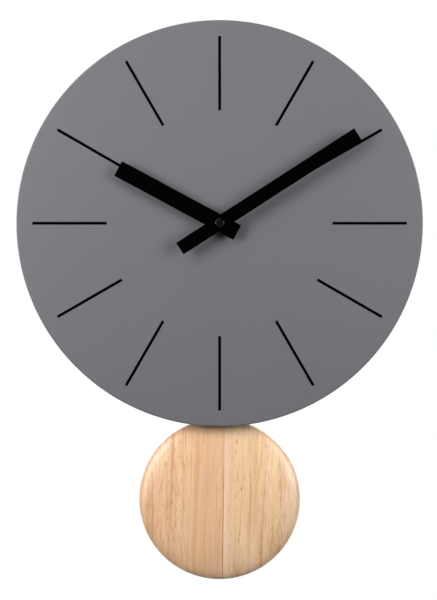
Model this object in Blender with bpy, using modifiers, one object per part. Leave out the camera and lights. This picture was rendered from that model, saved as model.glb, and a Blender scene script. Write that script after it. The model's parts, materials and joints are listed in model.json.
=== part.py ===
"""Battery pendulum wall clock: grey sheet-metal dial, two straight hands, round wooden bob.

Every piece is modelled in the face frame: x to the right, y up and z out from the wall, with
the hand axis at x = y = 0.  The empty "clock" turns that frame upright, so that the wall is the
plane Y = 0, the front looks along -Y and the origin is the point where the wall hook bears.
"""
from math import cos, pi, radians, sin

import bmesh
import bpy
from mathutils import Matrix, Vector

MM = 0.001
GAP = 0.3 * MM                     # between pieces that touch on the real clock

# Face and hands
HOOK_HEIGHT = 46 * MM              # wall hook above the hand axis
DIAL_RADIUS = 142.5 * MM
DIAL_BACK = 29 * MM
DIAL_FRONT = 30 * MM
DIAL_RIM_BACK = 25 * MM
DIAL_EDGE_RADIUS = 1.5 * MM
DIAL_HOLE_RADIUS = 4.3 * MM
MINUTE_HAND = dict(width=9.6 * MM, tip=115 * MM, tail=33.1 * MM, back=38.4 * MM, front=39.2 * MM)
HOUR_HAND = dict(width=11.6 * MM, tip=80.7 * MM, tail=14.1 * MM, back=35.6 * MM, front=36.4 * MM)
MINUTE_HAND_ANGLE = 57.2           # degrees clockwise from twelve
HOUR_HAND_ANGLE = 298.3

# Back housing
HOUSING_HALF_WIDTH = 46 * MM
HOUSING_TOP = 62 * MM
HOUSING_BOTTOM = -90 * MM
HOUSING_CORNER = 14 * MM
HOUSING_WALL = 2.2 * MM
HOUSING_BACK = 1.8 * MM
HOUSING_FLOOR = 4 * MM             # inner face of the rear wall
HOUSING_FRONT = DIAL_BACK - GAP
WINDOW_HALF_WIDTH = 30 * MM
WINDOW_TOP = 29.5 * MM
WINDOW_BOTTOM = -84 * MM
NOTCH_HALF_WIDTH = 18 * MM
SCREW_WELLS = [(x * MM, y * MM) for y in (50, -78) for x in (-36, 36)]
WELL_RADIUS = 5 * MM
WELL_BORE = 3.75 * MM
WELL_FLOOR = 20 * MM
WELL_TOP = 22.5 * MM
STANDOFF_RADIUS = 3.25 * MM
BUMPERS = [(x * MM, y * MM) for y in (30, -60) for x in (-38, 38)]
BUMPER_RADIUS = 5 * MM
BUMPER_THICKNESS = 1.5 * MM
HANGER_BACK = HOUSING_FLOOR + GAP
HANGER_FRONT = HANGER_BACK + 1.2 * MM
KEYHOLE_SLOT_RADIUS = 2.25 * MM
KEYHOLE_ENTRY_RADIUS = 4.5 * MM
KEYHOLE_ENTRY_Y = 38.5 * MM
RIVET_X = 13 * MM
RIVET_Y = 44 * MM

# Movement case
CASE_HALF_WIDTH = 28 * MM
CASE_TOP = 28 * MM
CASE_BOTTOM = -80 * MM
CASE_CORNER = 4 * MM
CASE_WALL = 1.6 * MM
COVER_BACK = 9.2 * MM
COVER_FRONT = 10.7 * MM
CASE_BACK = COVER_FRONT + GAP
CASE_FLOOR = 25.6 * MM             # inner face of the front wall
CASE_FRONT = 27.2 * MM
PLATE_BACK = 17.2 * MM             # middle plate
PLATE_FRONT = 18 * MM
COVER_SCREWS = [(-23.5 * MM, -9 * MM), (23.5 * MM, -9 * MM), (-23 * MM, -75.5 * MM), (23 * MM, -75.5 * MM)]
PLATE_LEGS = [(-19 * MM, -8 * MM), (-19 * MM, 14 * MM), (14.5 * MM, -8.5 * MM), (14.3 * MM, 14 * MM)]
BOARD_PEGS = [(-24 * MM, 20 * MM), (-10.5 * MM, 20 * MM)]
PIVOT_HOLE = 0.85 * MM
PIVOT_DEPTH = 0.8 * MM
ARBOR = 0.5 * MM

# Wheel train: tooth counts and modules
CENTRE_TEETH, CENTRE_MODULE = 64, 0.34 * MM
THIRD_TEETH, THIRD_MODULE = 60, 0.36 * MM
SECONDS_TEETH, SECONDS_MODULE = 50, 0.26 * MM
FIFTH_TEETH, FIFTH_MODULE = 48, 0.22 * MM
PINION_TEETH = 8
FIFTH_PINION_TEETH = 10
CANNON_TEETH, MOTION_TEETH, HOUR_TEETH, SETTING_TEETH = 10, 30, 32, 12
MOTION_MODULE = 0.5 * MM
ADDENDUM, DEDENDUM = 0.7, 1.2      # in modules
PINION_TOOTH = 0.44                # tooth width as a share of the pitch
WHEEL_LAND = 0.07                  # half the flat tip of a wheel tooth, as a share of the pitch

# Directions from one axis to the next, in degrees anticlockwise from +x
CENTRE_TO_THIRD = 150
SECONDS_TO_FIFTH = 60
FIFTH_TO_ROTOR = 20
CENTRE_TO_MOTION = 20
MOTION_TO_SETTING = -20

# Battery and electrics
BATTERY_RADIUS = 7.15 * MM
BATTERY_HALF_LENGTH = 25.25 * MM
BATTERY_Y = -22 * MM
BATTERY_Z = 16.5 * MM
COIL_Y, COIL_Z = 22.8 * MM, 16.3 * MM

# Pendulum, measured from its pivot
PIVOT_Y = -38 * MM
MAGNET_Y = -28 * MM
HOOK_Y = -50.3 * MM
BOB_Y = -155.8 * MM
BOB_RADIUS = 56.5 * MM
BOB_BACK = 9.5 * MM
BOB_FRONT = 21.5 * MM
BOB_CROWN = 6.5 * MM               # fall of the soft front from its middle to its rim
BOB_CROWN_POWER = 5
ROD_BACK = 12 * MM
ROD_FRONT = 13 * MM
ROD_HALF_WIDTH = 3 * MM
ROD_TOP, ROD_END = -47 * MM, -186 * MM
BOB_SCREWS = (-134 * MM, -176 * MM)


# ---------------------------------------------------------------- scene and materials

def clear_scene():
    for obj in list(bpy.data.objects):
        bpy.data.objects.remove(obj, do_unlink=True)


def new_collection(name):
    collection = bpy.data.collections.new(name)
    bpy.context.scene.collection.children.link(collection)
    return collection


def material(name, colour, roughness, metallic=0.0):
    made = bpy.data.materials.new(name)
    made.use_nodes = True
    shader = made.node_tree.nodes["Principled BSDF"]
    shader.inputs["Base Color"].default_value = (*colour, 1.0)
    shader.inputs["Roughness"].default_value = roughness
    shader.inputs["Metallic"].default_value = metallic
    return made


clear_scene()
PARTS = new_collection("pendulum_wall_clock")
CUTTERS = new_collection("cutters")

DIAL_GREY = material("powder_coat_grey", (0.19, 0.19, 0.205), 0.6)
HAND_BLACK = material("matt_black_lacquer", (0.012, 0.012, 0.013), 0.55)
HOUSING_BLACK = material("black_abs", (0.02, 0.02, 0.021), 0.5)
CASE_BLACK = material("movement_case_abs", (0.028, 0.028, 0.03), 0.42)
COVER_GREY = material("movement_cover_abs", (0.05, 0.05, 0.052), 0.45)
RUBBER = material("rubber", (0.018, 0.018, 0.018), 0.85)
STEEL = material("zinc_plated_steel", (0.55, 0.56, 0.57), 0.35, 1.0)
BRASS = material("brass", (0.72, 0.5, 0.2), 0.3, 1.0)
NICKEL = material("nickel_silver", (0.6, 0.57, 0.5), 0.3, 1.0)
COPPER = material("enamelled_copper", (0.55, 0.2, 0.08), 0.35, 1.0)
ACETAL = material("natural_acetal", (0.8, 0.79, 0.74), 0.45)
ACETAL_BLACK = material("black_acetal", (0.03, 0.03, 0.03), 0.45)
SETTING_RED = material("setting_knob_acetal", (0.35, 0.03, 0.02), 0.45)
BOARD = material("circuit_board", (0.03, 0.16, 0.06), 0.5)
EPOXY = material("black_epoxy", (0.012, 0.012, 0.012), 0.3)
FERRITE = material("magnet_ferrite", (0.05, 0.05, 0.055), 0.5)
CELL = material("battery_sleeve", (0.05, 0.09, 0.2), 0.35)
WOOD = material("beech", (0.62, 0.42, 0.25), 0.55)


# ---------------------------------------------------------------- shapes

def arc(centre, radius, start, end, steps):
    """Points along an arc, the angles in degrees."""
    angles = [radians(start + (end - start) * i / steps) for i in range(steps + 1)]
    return [(centre[0] + radius * cos(a), centre[1] + radius * sin(a)) for a in angles]


def circle(radius, centre=(0, 0), sides=24):
    return arc(centre, radius, 0, 360, sides)[:-1]


def rounded_rectangle(left, right, bottom, top, radius, steps=4):
    corners = [(right - radius, top - radius, 0), (left + radius, top - radius, 90),
               (left + radius, bottom + radius, 180), (right - radius, bottom + radius, 270)]
    return [point for x, y, start in corners for point in arc((x, y), radius, start, start + 90, steps)]


def rotated(points, degrees):
    c, s = cos(radians(degrees)), sin(radians(degrees))
    return [(c * x - s * y, s * x + c * y) for x, y in points]


def polar(distance, degrees, start=(0, 0)):
    return (start[0] + distance * cos(radians(degrees)), start[1] + distance * sin(radians(degrees)))


def baked(obj):
    """Evaluate an object with its modifiers into a clean mesh, and remove the object."""
    CUTTERS.objects.link(obj)
    graph = bpy.context.evaluated_depsgraph_get()
    mesh = bpy.data.meshes.new_from_object(obj.evaluated_get(graph))
    bpy.data.objects.remove(obj, do_unlink=True)
    edit = bmesh.new()
    edit.from_mesh(mesh)
    bmesh.ops.remove_doubles(edit, verts=edit.verts, dist=1e-6)
    edit.to_mesh(mesh)
    edit.free()
    return mesh


def plate(rings, back, front):
    """A flat sheet between two depths: the first ring is its outline, the others are holes."""
    curve = bpy.data.curves.new("outline", 'CURVE')
    curve.dimensions = '2D'
    curve.fill_mode = 'BOTH'
    curve.extrude = (front - back) / 2
    for ring in rings:
        spline = curve.splines.new('POLY')
        spline.points.add(len(ring) - 1)
        for point, (x, y) in zip(spline.points, ring):
            point.co = (x, y, 0, 1)
        spline.use_cyclic_u = True
    mesh = baked(bpy.data.objects.new("outline", curve))
    mesh.transform(Matrix.Translation((0, 0, (front + back) / 2)))
    return mesh


def turned(profile, sides=24, ring=False, centre=(0, 0)):
    """Spin (radius, depth) points about the z axis; they run down the outer side."""
    mesh = bpy.data.meshes.new("profile")
    edges = [(i, i + 1) for i in range(len(profile) - 1)]
    if ring:
        edges.append((len(profile) - 1, 0))
    mesh.from_pydata([(radius, 0, z) for radius, z in profile], edges, [])
    obj = bpy.data.objects.new("profile", mesh)
    screw = obj.modifiers.new("Screw", 'SCREW')
    screw.steps = screw.render_steps = sides
    screw.use_merge_vertices = True
    screw.merge_threshold = 1e-6
    solid = baked(obj)
    solid.transform(Matrix.Translation((*centre, 0)))
    return solid


def tube(outer, inner, back, front, sides=24, centre=(0, 0)):
    return turned([(outer, front), (outer, back), (inner, back), (inner, front)], sides, True, centre)


def cylinder(radius, back, front, sides=16, centre=(0, 0)):
    edit = bmesh.new()
    bmesh.ops.create_cone(edit, cap_ends=True, segments=sides, radius1=radius, radius2=radius,
                          depth=front - back)
    mesh = bpy.data.meshes.new("cylinder")
    edit.to_mesh(mesh)
    edit.free()
    mesh.transform(Matrix.Translation((*centre, (back + front) / 2)))
    return mesh


def box(left, right, bottom, top, back, front):
    edit = bmesh.new()
    bmesh.ops.create_cube(edit, size=1)
    mesh = bpy.data.meshes.new("box")
    edit.to_mesh(mesh)
    edit.free()
    size = Matrix.Diagonal((right - left, top - bottom, front - back, 1))
    centre = Vector((left + right, bottom + top, back + front)) / 2
    mesh.transform(Matrix.Translation(centre) @ size)
    return mesh


def along_x(mesh, y, z):
    """Lay a shape that was made about the z axis along x instead."""
    mesh.transform(Matrix.Translation((0, y, z)) @ Matrix.Rotation(pi / 2, 4, 'Y'))
    return mesh


# ---------------------------------------------------------------- objects

def axis(name, position=(0, 0)):
    """An empty on the line about which a group of pieces turns."""
    empty = bpy.data.objects.new(name, None)
    empty.empty_display_size = 10 * MM
    PARTS.objects.link(empty)
    empty.parent = CLOCK
    empty.location = (*position, 0)
    return empty


def part(name, mesh, look, parent):
    mesh.name = name
    mesh.materials.clear()
    mesh.materials.append(look)
    mesh.shade_smooth()
    mesh.set_sharp_from_angle(angle=radians(35))
    obj = bpy.data.objects.new(name, mesh)
    PARTS.objects.link(obj)
    obj.parent = parent
    return obj


def combine(obj, operation, meshes):
    for number, mesh in enumerate(meshes):
        helper = bpy.data.objects.new(f"{obj.name}_{operation.lower()}_{number}", mesh)
        CUTTERS.objects.link(helper)
        helper.parent = obj.parent
        helper.hide_render = True
        helper.display_type = 'WIRE'
        boolean = obj.modifiers.new(operation.title(), 'BOOLEAN')
        boolean.operation = operation
        boolean.solver = 'EXACT'
        boolean.object = helper


def join(obj, *meshes):
    combine(obj, 'UNION', meshes)


def cut(obj, *meshes):
    combine(obj, 'DIFFERENCE', meshes)


def place_name(x, y, upper):
    return ("upper" if y > upper else "lower") + ("_left" if x < 0 else "_right")


CLOCK = bpy.data.objects.new("clock", None)
PARTS.objects.link(CLOCK)
CLOCK.location = (0, 0, -HOOK_HEIGHT)
CLOCK.rotation_euler = (pi / 2, 0, 0)


# ---------------------------------------------------------------- gears

def tooth_ring(teeth, module, phase=0.0, slim=False):
    """Outline of a toothed wheel; phase is the angle of its first tooth, in tooth pitches."""
    pitch_radius = teeth * module / 2
    tip = pitch_radius + ADDENDUM * module
    root = pitch_radius - DEDENDUM * module
    if slim:
        profile = [(-0.42 * PINION_TOOTH, root), (-0.18 * PINION_TOOTH, tip),
                   (0.18 * PINION_TOOTH, tip), (0.42 * PINION_TOOTH, root)]
    else:
        profile = [(-0.5, root), (-WHEEL_LAND, tip), (WHEEL_LAND, tip)]
    step = 2 * pi / teeth
    return [(radius * cos((i + phase + share) * step), radius * sin((i + phase + share) * step))
            for i in range(teeth) for share, radius in profile]


def meshed_phase(phase, teeth, other_teeth, direction):
    """Phase of a wheel that stands in a direction from a wheel of a given phase."""
    line = radians(direction) / (2 * pi)
    return (line + 0.5) * other_teeth - (phase - line * teeth) - 0.5


def centre_distance(teeth, other_teeth, module):
    return (teeth + other_teeth) * module / 2


THIRD_AT = polar(centre_distance(CENTRE_TEETH, PINION_TEETH, CENTRE_MODULE), CENTRE_TO_THIRD)
FIFTH_AT = polar(centre_distance(SECONDS_TEETH, FIFTH_PINION_TEETH, SECONDS_MODULE), SECONDS_TO_FIFTH)
ROTOR_AT = polar(centre_distance(FIFTH_TEETH, PINION_TEETH, FIFTH_MODULE), FIFTH_TO_ROTOR, FIFTH_AT)
MOTION_AT = polar(centre_distance(CANNON_TEETH, MOTION_TEETH, MOTION_MODULE), CENTRE_TO_MOTION)
SETTING_AT = polar(centre_distance(MOTION_TEETH, SETTING_TEETH, MOTION_MODULE), MOTION_TO_SETTING,
                   MOTION_AT)


def make_train():
    """Rotor to minute work; each wheel is turned about its own axis."""
    rotor_axis = axis("rotor_axis", ROTOR_AT)
    fifth_axis = axis("fifth_axis", FIFTH_AT)
    seconds_axis = axis("seconds_axis")
    third_axis = axis("third_axis", THIRD_AT)
    back_pivot = COVER_FRONT - PIVOT_DEPTH + GAP
    front_pivot = CASE_FLOOR + PIVOT_DEPTH - GAP

    phase = meshed_phase(0, FIFTH_TEETH, PINION_TEETH, FIFTH_TO_ROTOR)
    rotor = part("rotor", plate([tooth_ring(PINION_TEETH, FIFTH_MODULE, phase, True)], 11.9 * MM,
                                13.1 * MM), FERRITE, rotor_axis)
    join(rotor, cylinder(0.45 * MM, back_pivot, 17.8 * MM, 10), cylinder(1.1 * MM, 13 * MM, 13.6 * MM, 12),
         cylinder(3 * MM, 13.5 * MM, 16 * MM, 16))

    phase = meshed_phase(0, SECONDS_TEETH, FIFTH_PINION_TEETH, SECONDS_TO_FIFTH)
    fifth = part("fifth_wheel", plate([tooth_ring(FIFTH_TEETH, FIFTH_MODULE)], 12.1 * MM, 12.8 * MM),
                 ACETAL, fifth_axis)
    join(fifth, plate([tooth_ring(FIFTH_PINION_TEETH, SECONDS_MODULE, phase, True)], 13 * MM, 14.8 * MM),
         cylinder(0.8 * MM, 12.5 * MM, 13.2 * MM, 12), cylinder(ARBOR, back_pivot, 17.8 * MM, 10))

    phase = meshed_phase(0, THIRD_TEETH, PINION_TEETH, CENTRE_TO_THIRD + 180)
    seconds = part("seconds_wheel", plate([tooth_ring(SECONDS_TEETH, SECONDS_MODULE)], 13.6 * MM,
                                          14.4 * MM), ACETAL, seconds_axis)
    join(seconds, plate([tooth_ring(PINION_TEETH, THIRD_MODULE, phase, True)], 14.2 * MM, 16.7 * MM),
         cylinder(ARBOR, back_pivot, 20 * MM, 10))

    phase = meshed_phase(0, CENTRE_TEETH, PINION_TEETH, CENTRE_TO_THIRD)
    third = part("third_wheel", plate([tooth_ring(THIRD_TEETH, THIRD_MODULE)], 15.3 * MM, 16.3 * MM),
                 ACETAL, third_axis)
    join(third, plate([tooth_ring(PINION_TEETH, CENTRE_MODULE, phase, True)], 18.6 * MM, 20.2 * MM),
         cylinder(0.6 * MM, 16.2 * MM, 18.8 * MM, 12), cylinder(ARBOR, back_pivot, front_pivot, 10))


def make_motion_work():
    """Centre wheel with its pipe, motion wheel, hour wheel and the setting wheel with its knob."""
    minute_axis = axis("minute_axis")
    hour_axis = axis("hour_axis")
    motion_axis = axis("motion_axis", MOTION_AT)
    setting_axis = axis("setting_axis", SETTING_AT)

    centre = part("centre_wheel", plate([tooth_ring(CENTRE_TEETH, CENTRE_MODULE)], 18.9 * MM, 20 * MM),
                  BRASS, minute_axis)
    join(centre, plate([tooth_ring(CANNON_TEETH, MOTION_MODULE, 0, True)], 19.8 * MM, 22.5 * MM),
         cylinder(1.2 * MM, 17 * MM, 19.2 * MM, 16), cylinder(1.55 * MM, 22 * MM, 41 * MM, 20))
    cut(centre, cylinder(PIVOT_HOLE, 16 * MM, 21 * MM, 16))

    phase = meshed_phase(0, CANNON_TEETH, MOTION_TEETH, CENTRE_TO_MOTION)
    motion = part("motion_wheel", plate([tooth_ring(MOTION_TEETH, MOTION_MODULE, phase)], 21 * MM,
                                        22 * MM), ACETAL, motion_axis)
    join(motion, plate([tooth_ring(PINION_TEETH, MOTION_MODULE, 0, True)], 21.8 * MM, 24.3 * MM))
    cut(motion, cylinder(PIVOT_HOLE, 20 * MM, 25 * MM, 16))

    hour_phase = meshed_phase(0, PINION_TEETH, HOUR_TEETH, CENTRE_TO_MOTION + 180)
    hour = part("hour_wheel", plate([tooth_ring(HOUR_TEETH, MOTION_MODULE, hour_phase)], 22.9 * MM,
                                    24 * MM), ACETAL, hour_axis)
    join(hour, cylinder(2.5 * MM, 23.4 * MM, 36.9 * MM, 24))
    cut(hour, cylinder(1.85 * MM, 22 * MM, 38 * MM, 24))

    phase = meshed_phase(phase, MOTION_TEETH, SETTING_TEETH, MOTION_TO_SETTING)
    setting = part("setting_wheel", plate([tooth_ring(SETTING_TEETH, MOTION_MODULE, phase, True)],
                                          21 * MM, 22.2 * MM), ACETAL, setting_axis)
    join(setting, cylinder(0.9 * MM, 5.6 * MM, 23 * MM, 14))
    knob = part("setting_knob", turned([(4.9 * MM, 8.9 * MM), (4.9 * MM, 7.6 * MM), (5.5 * MM, 7.3 * MM),
                                        (5.5 * MM, 5.2 * MM), (5.1 * MM, 4.8 * MM), (1.25 * MM, 4.8 * MM),
                                        (1.25 * MM, 8.9 * MM)], 16, True), SETTING_RED, setting_axis)
    cut(knob, *[box(-0.4 * MM, 0.4 * MM, 4.9 * MM, 6 * MM, 4 * MM, 7.35 * MM)])

    make_hand("minute_hand", MINUTE_HAND, MINUTE_HAND_ANGLE, 1.85 * MM, minute_axis)
    make_hand("hour_hand", HOUR_HAND, HOUR_HAND_ANGLE, 2.8 * MM, hour_axis)
    part("hand_nut", turned([(0, 42 * MM), (2.6 * MM, 42 * MM), (2.95 * MM, 41.85 * MM),
                             (3.1 * MM, 41.5 * MM), (3.1 * MM, 39.5 * MM), (1.85 * MM, 39.5 * MM),
                             (1.85 * MM, 41.3 * MM), (0, 41.3 * MM)], 24), EPOXY, minute_axis)


def make_hand(name, size, angle, bore, parent):
    """A straight hand of constant width, square at both ends, on a round bore."""
    half = size["width"] / 2
    ring = [(size["tip"], -half), (size["tip"], half), (-size["tail"], half), (-size["tail"], -half)]
    part(name, plate([rotated(ring, 90 - angle), circle(bore)], size["back"], size["front"]),
         HAND_BLACK, parent)


# ---------------------------------------------------------------- dial and housing

def make_dial():
    outer, edge = DIAL_RADIUS, DIAL_EDGE_RADIUS
    wall = DIAL_FRONT - DIAL_BACK
    rim = [(DIAL_HOLE_RADIUS, DIAL_FRONT)]
    rim += arc((outer - edge, DIAL_FRONT - edge), edge, 90, 0, 2)
    rim += [(outer, DIAL_RIM_BACK), (outer - wall, DIAL_RIM_BACK)]
    rim += arc((outer - edge, DIAL_FRONT - edge), edge - wall, 0, 90, 1)
    rim += [(DIAL_HOLE_RADIUS, DIAL_BACK)]
    part("dial_plate", turned(rim, 96, True), DIAL_GREY, CLOCK)
    for x, y in SCREW_WELLS:
        place = place_name(x, y, 0)
        part(f"dial_standoff_{place}", tube(STANDOFF_RADIUS, 1.75 * MM, WELL_TOP + GAP, HOUSING_FRONT, 12,
                                            (x, y)), STEEL, CLOCK)
        part(f"housing_screw_{place}", pan_screw(3 * MM, 1.45 * MM, WELL_FLOOR - GAP - 2.1 * MM, 2.1 * MM,
                                                 8 * MM, (x, y)), STEEL, CLOCK)


def pan_screw(head_radius, shank_radius, head_back, head_height, length, centre, sides=10):
    """A pan-head screw that points to the front, its head towards the wall."""
    head_front = head_back + head_height
    profile = [(0, head_front + length), (shank_radius, head_front + length - shank_radius),
               (shank_radius, head_front), (head_radius, head_front),
               (head_radius, head_back + head_height * 0.4), (head_radius * 0.7, head_back),
               (0, head_back)]
    return turned(profile, sides, False, centre)


def housing_ring(inset):
    return rounded_rectangle(-HOUSING_HALF_WIDTH + inset, HOUSING_HALF_WIDTH - inset,
                             HOUSING_BOTTOM + inset, HOUSING_TOP - inset, HOUSING_CORNER - inset, 5)


def make_housing():
    housing = part("back_housing", plate([housing_ring(0)], HOUSING_BACK, HOUSING_FRONT), HOUSING_BLACK,
                   CLOCK)
    cut(housing, plate([housing_ring(HOUSING_WALL)], HOUSING_FLOOR, HOUSING_FRONT + 1 * MM),
        plate([rounded_rectangle(-WINDOW_HALF_WIDTH, WINDOW_HALF_WIDTH, WINDOW_BOTTOM, WINDOW_TOP,
                                 3 * MM, 2)], 0, HOUSING_FLOOR + 1 * MM),
        box(-NOTCH_HALF_WIDTH, NOTCH_HALF_WIDTH, HOUSING_BOTTOM - 1 * MM, WINDOW_BOTTOM + 1 * MM, 0,
            HOUSING_FRONT + 1 * MM),
        plate([rounded_rectangle(-8 * MM, 8 * MM, 32.5 * MM, 51 * MM, 3 * MM, 2)], 0,
              HOUSING_FLOOR + 1 * MM))
    join(housing, *[cylinder(WELL_RADIUS, HOUSING_BACK + 0.5 * MM, WELL_TOP, 14, at) for at in SCREW_WELLS])
    for at in SCREW_WELLS:
        cut(housing, cylinder(WELL_BORE, 0, WELL_FLOOR, 14, at),
            cylinder(1.75 * MM, WELL_FLOOR - 1 * MM, WELL_TOP + 1 * MM, 10, at))
    for side in (-1, 1):
        cut(housing, cylinder(1.75 * MM, 0, HOUSING_FLOOR + 1 * MM, 12, (side * RIVET_X, RIVET_Y)))

    for x, y in BUMPERS:
        part(f"wall_bumper_{place_name(x, y, 0)}",
             turned([(0, BUMPER_THICKNESS), (BUMPER_RADIUS, BUMPER_THICKNESS),
                     (BUMPER_RADIUS, 0.4 * MM), (BUMPER_RADIUS - 0.6 * MM, 0), (0, 0)], 16, False, (x, y)),
             RUBBER, CLOCK)
    make_hanger()


def make_hanger():
    """Steel keyhole plate behind the rear wall; the slot's top end is the hook's bearing point."""
    slot_y = HOOK_HEIGHT - KEYHOLE_SLOT_RADIUS
    meeting = 30                   # where the slot's sides leave the entry hole, degrees off upright
    keyhole = arc((0, KEYHOLE_ENTRY_Y), KEYHOLE_ENTRY_RADIUS, 90 + meeting, 450 - meeting, 14)
    keyhole += arc((0, slot_y), KEYHOLE_SLOT_RADIUS, 0, 180, 8)
    holes = [circle(1.75 * MM, (side * RIVET_X, RIVET_Y), 12) for side in (-1, 1)]
    outline = rounded_rectangle(-17 * MM, 17 * MM, 31.5 * MM, 56.5 * MM, 3 * MM, 3)
    part("hanger_plate", plate([outline, keyhole, *holes], HANGER_BACK, HANGER_FRONT), STEEL, CLOCK)
    rear, front = HOUSING_BACK - GAP, HANGER_FRONT + GAP
    rivet = [(0, front + 0.9 * MM), (1.5 * MM, front + 0.8 * MM), (2.4 * MM, front), (1.4 * MM, front),
             (1.4 * MM, rear), (2.8 * MM, rear), (2.2 * MM, rear - 0.6 * MM), (0, rear - 0.7 * MM)]
    for side, place in ((-1, "left"), (1, "right")):
        part(f"hanger_rivet_{place}", turned(rivet, 12, False, (side * RIVET_X, RIVET_Y)), STEEL, CLOCK)


# ---------------------------------------------------------------- movement

def case_ring(inset):
    return rounded_rectangle(-CASE_HALF_WIDTH + inset, CASE_HALF_WIDTH - inset, CASE_BOTTOM + inset,
                             CASE_TOP - inset, CASE_CORNER - inset, 3)


def make_case():
    case = part("movement_front_case", plate([case_ring(0)], CASE_BACK, CASE_FRONT), CASE_BLACK, CLOCK)
    cut(case, plate([case_ring(CASE_WALL)], CASE_BACK - 1 * MM, CASE_FLOOR))
    inside = CASE_HALF_WIDTH - CASE_WALL / 2
    above, below = BATTERY_Y + 8.1 * MM, BATTERY_Y - 8.1 * MM
    floor = CASE_FLOOR + 0.5 * MM
    join(case, box(-inside, inside, above, above + 1.2 * MM, 12 * MM, floor),
         box(-inside, inside, below - 1.2 * MM, below, 12 * MM, floor),
         *[cylinder(2.2 * MM, CASE_BACK + 0.2 * MM, floor, 14, at) for at in COVER_SCREWS])
    cut(case, cylinder(DIAL_HOLE_RADIUS, CASE_FLOOR - 1 * MM, CASE_FRONT + 1 * MM, 24),
        cylinder(PIVOT_HOLE, CASE_FLOOR - 1 * MM, CASE_FLOOR + PIVOT_DEPTH, 12, THIRD_AT),
        cylinder(1.35 * MM, CASE_FLOOR - 1 * MM, CASE_FLOOR + 1 * MM, 16, (0, PIVOT_Y)),
        box(-11.5 * MM, 11.5 * MM, CASE_BOTTOM - 1 * MM, CASE_BOTTOM + CASE_WALL + 1 * MM,
            CASE_BACK - 1 * MM, 20.5 * MM),
        *[cylinder(1.15 * MM, CASE_BACK - 1 * MM, 17 * MM, 10, at) for at in COVER_SCREWS])

    cover = part("movement_rear_cover", plate([case_ring(0)], COVER_BACK, COVER_FRONT), COVER_GREY, CLOCK)
    cut(cover, box(-26 * MM, 26 * MM, BATTERY_Y - 7.9 * MM, BATTERY_Y + 7.9 * MM, 8 * MM, 12 * MM),
        cylinder(1.3 * MM, 8 * MM, 12 * MM, 14, SETTING_AT),
        *[cylinder(PIVOT_HOLE, COVER_FRONT - PIVOT_DEPTH, 12 * MM, 12, at)
          for at in ((0, 0), THIRD_AT, FIFTH_AT, ROTOR_AT)],
        cylinder(1.35 * MM, COVER_FRONT - 1 * MM, 12 * MM, 16, (0, PIVOT_Y)),
        *[cylinder(1.15 * MM, 8 * MM, 12 * MM, 10, at) for at in COVER_SCREWS])
    for x, y in COVER_SCREWS:
        part(f"cover_screw_{place_name(x, y, -40 * MM)}",
             pan_screw(1.9 * MM, 0.8 * MM, 7.6 * MM, 1.3 * MM, 7 * MM, (x, y), 10), STEEL, CLOCK)

    holes = [circle(0.9 * MM, at, 12) for at in (THIRD_AT, FIFTH_AT, ROTOR_AT)]
    holes.append(circle(1.6 * MM, (0, 0), 16))
    outline = [(16.5, -10.5), (16.5, 24.6), (13.9, 24.6), (13.9, 19), (-3, 19), (-3, 24.6), (-8.4, 24.6),
               (-8.4, 22), (-25.6, 22), (-25.6, 16.5), (-20.9, 16.5), (-20.9, -10.5)]
    middle = part("middle_plate", plate([[(x * MM, y * MM) for x, y in outline], *holes], PLATE_BACK,
                                        PLATE_FRONT), ACETAL_BLACK, CLOCK)
    join(middle, *[cylinder(1.4 * MM, PLATE_FRONT - 0.4 * MM, CASE_FLOOR - GAP, 12, at)
                   for at in PLATE_LEGS],
         *[cylinder(1.2 * MM, 15.1 * MM, PLATE_BACK + 0.4 * MM, 12, at) for at in BOARD_PEGS])
    part("motion_pin", cylinder(0.55 * MM, 20.6 * MM, CASE_FLOOR - GAP, 12, MOTION_AT), STEEL, CLOCK)


def make_centre_fixing():
    """The threaded bush that clamps the movement to the dial, with its washers and nut."""
    bush = [(4 * MM, 34.6 * MM), (4 * MM, 25.3 * MM), (5.5 * MM, 25.3 * MM), (5.5 * MM, 24.4 * MM),
            (2.75 * MM, 24.4 * MM), (2.75 * MM, 34.6 * MM)]
    part("centre_bush", turned(bush, 20, True), BRASS, CLOCK)
    part("rubber_washer", tube(9 * MM, DIAL_HOLE_RADIUS, CASE_FRONT + GAP, DIAL_BACK - GAP), RUBBER, CLOCK)
    part("brass_washer", tube(6.3 * MM, DIAL_HOLE_RADIUS, DIAL_FRONT + GAP, 31 * MM, 20), BRASS, CLOCK)
    hexagon = circle(11 / 2 / cos(pi / 6) * MM, (0, 0), 6)
    part("centre_nut", plate([hexagon, circle(DIAL_HOLE_RADIUS)], 31.3 * MM, 33.8 * MM), BRASS, CLOCK)


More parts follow.
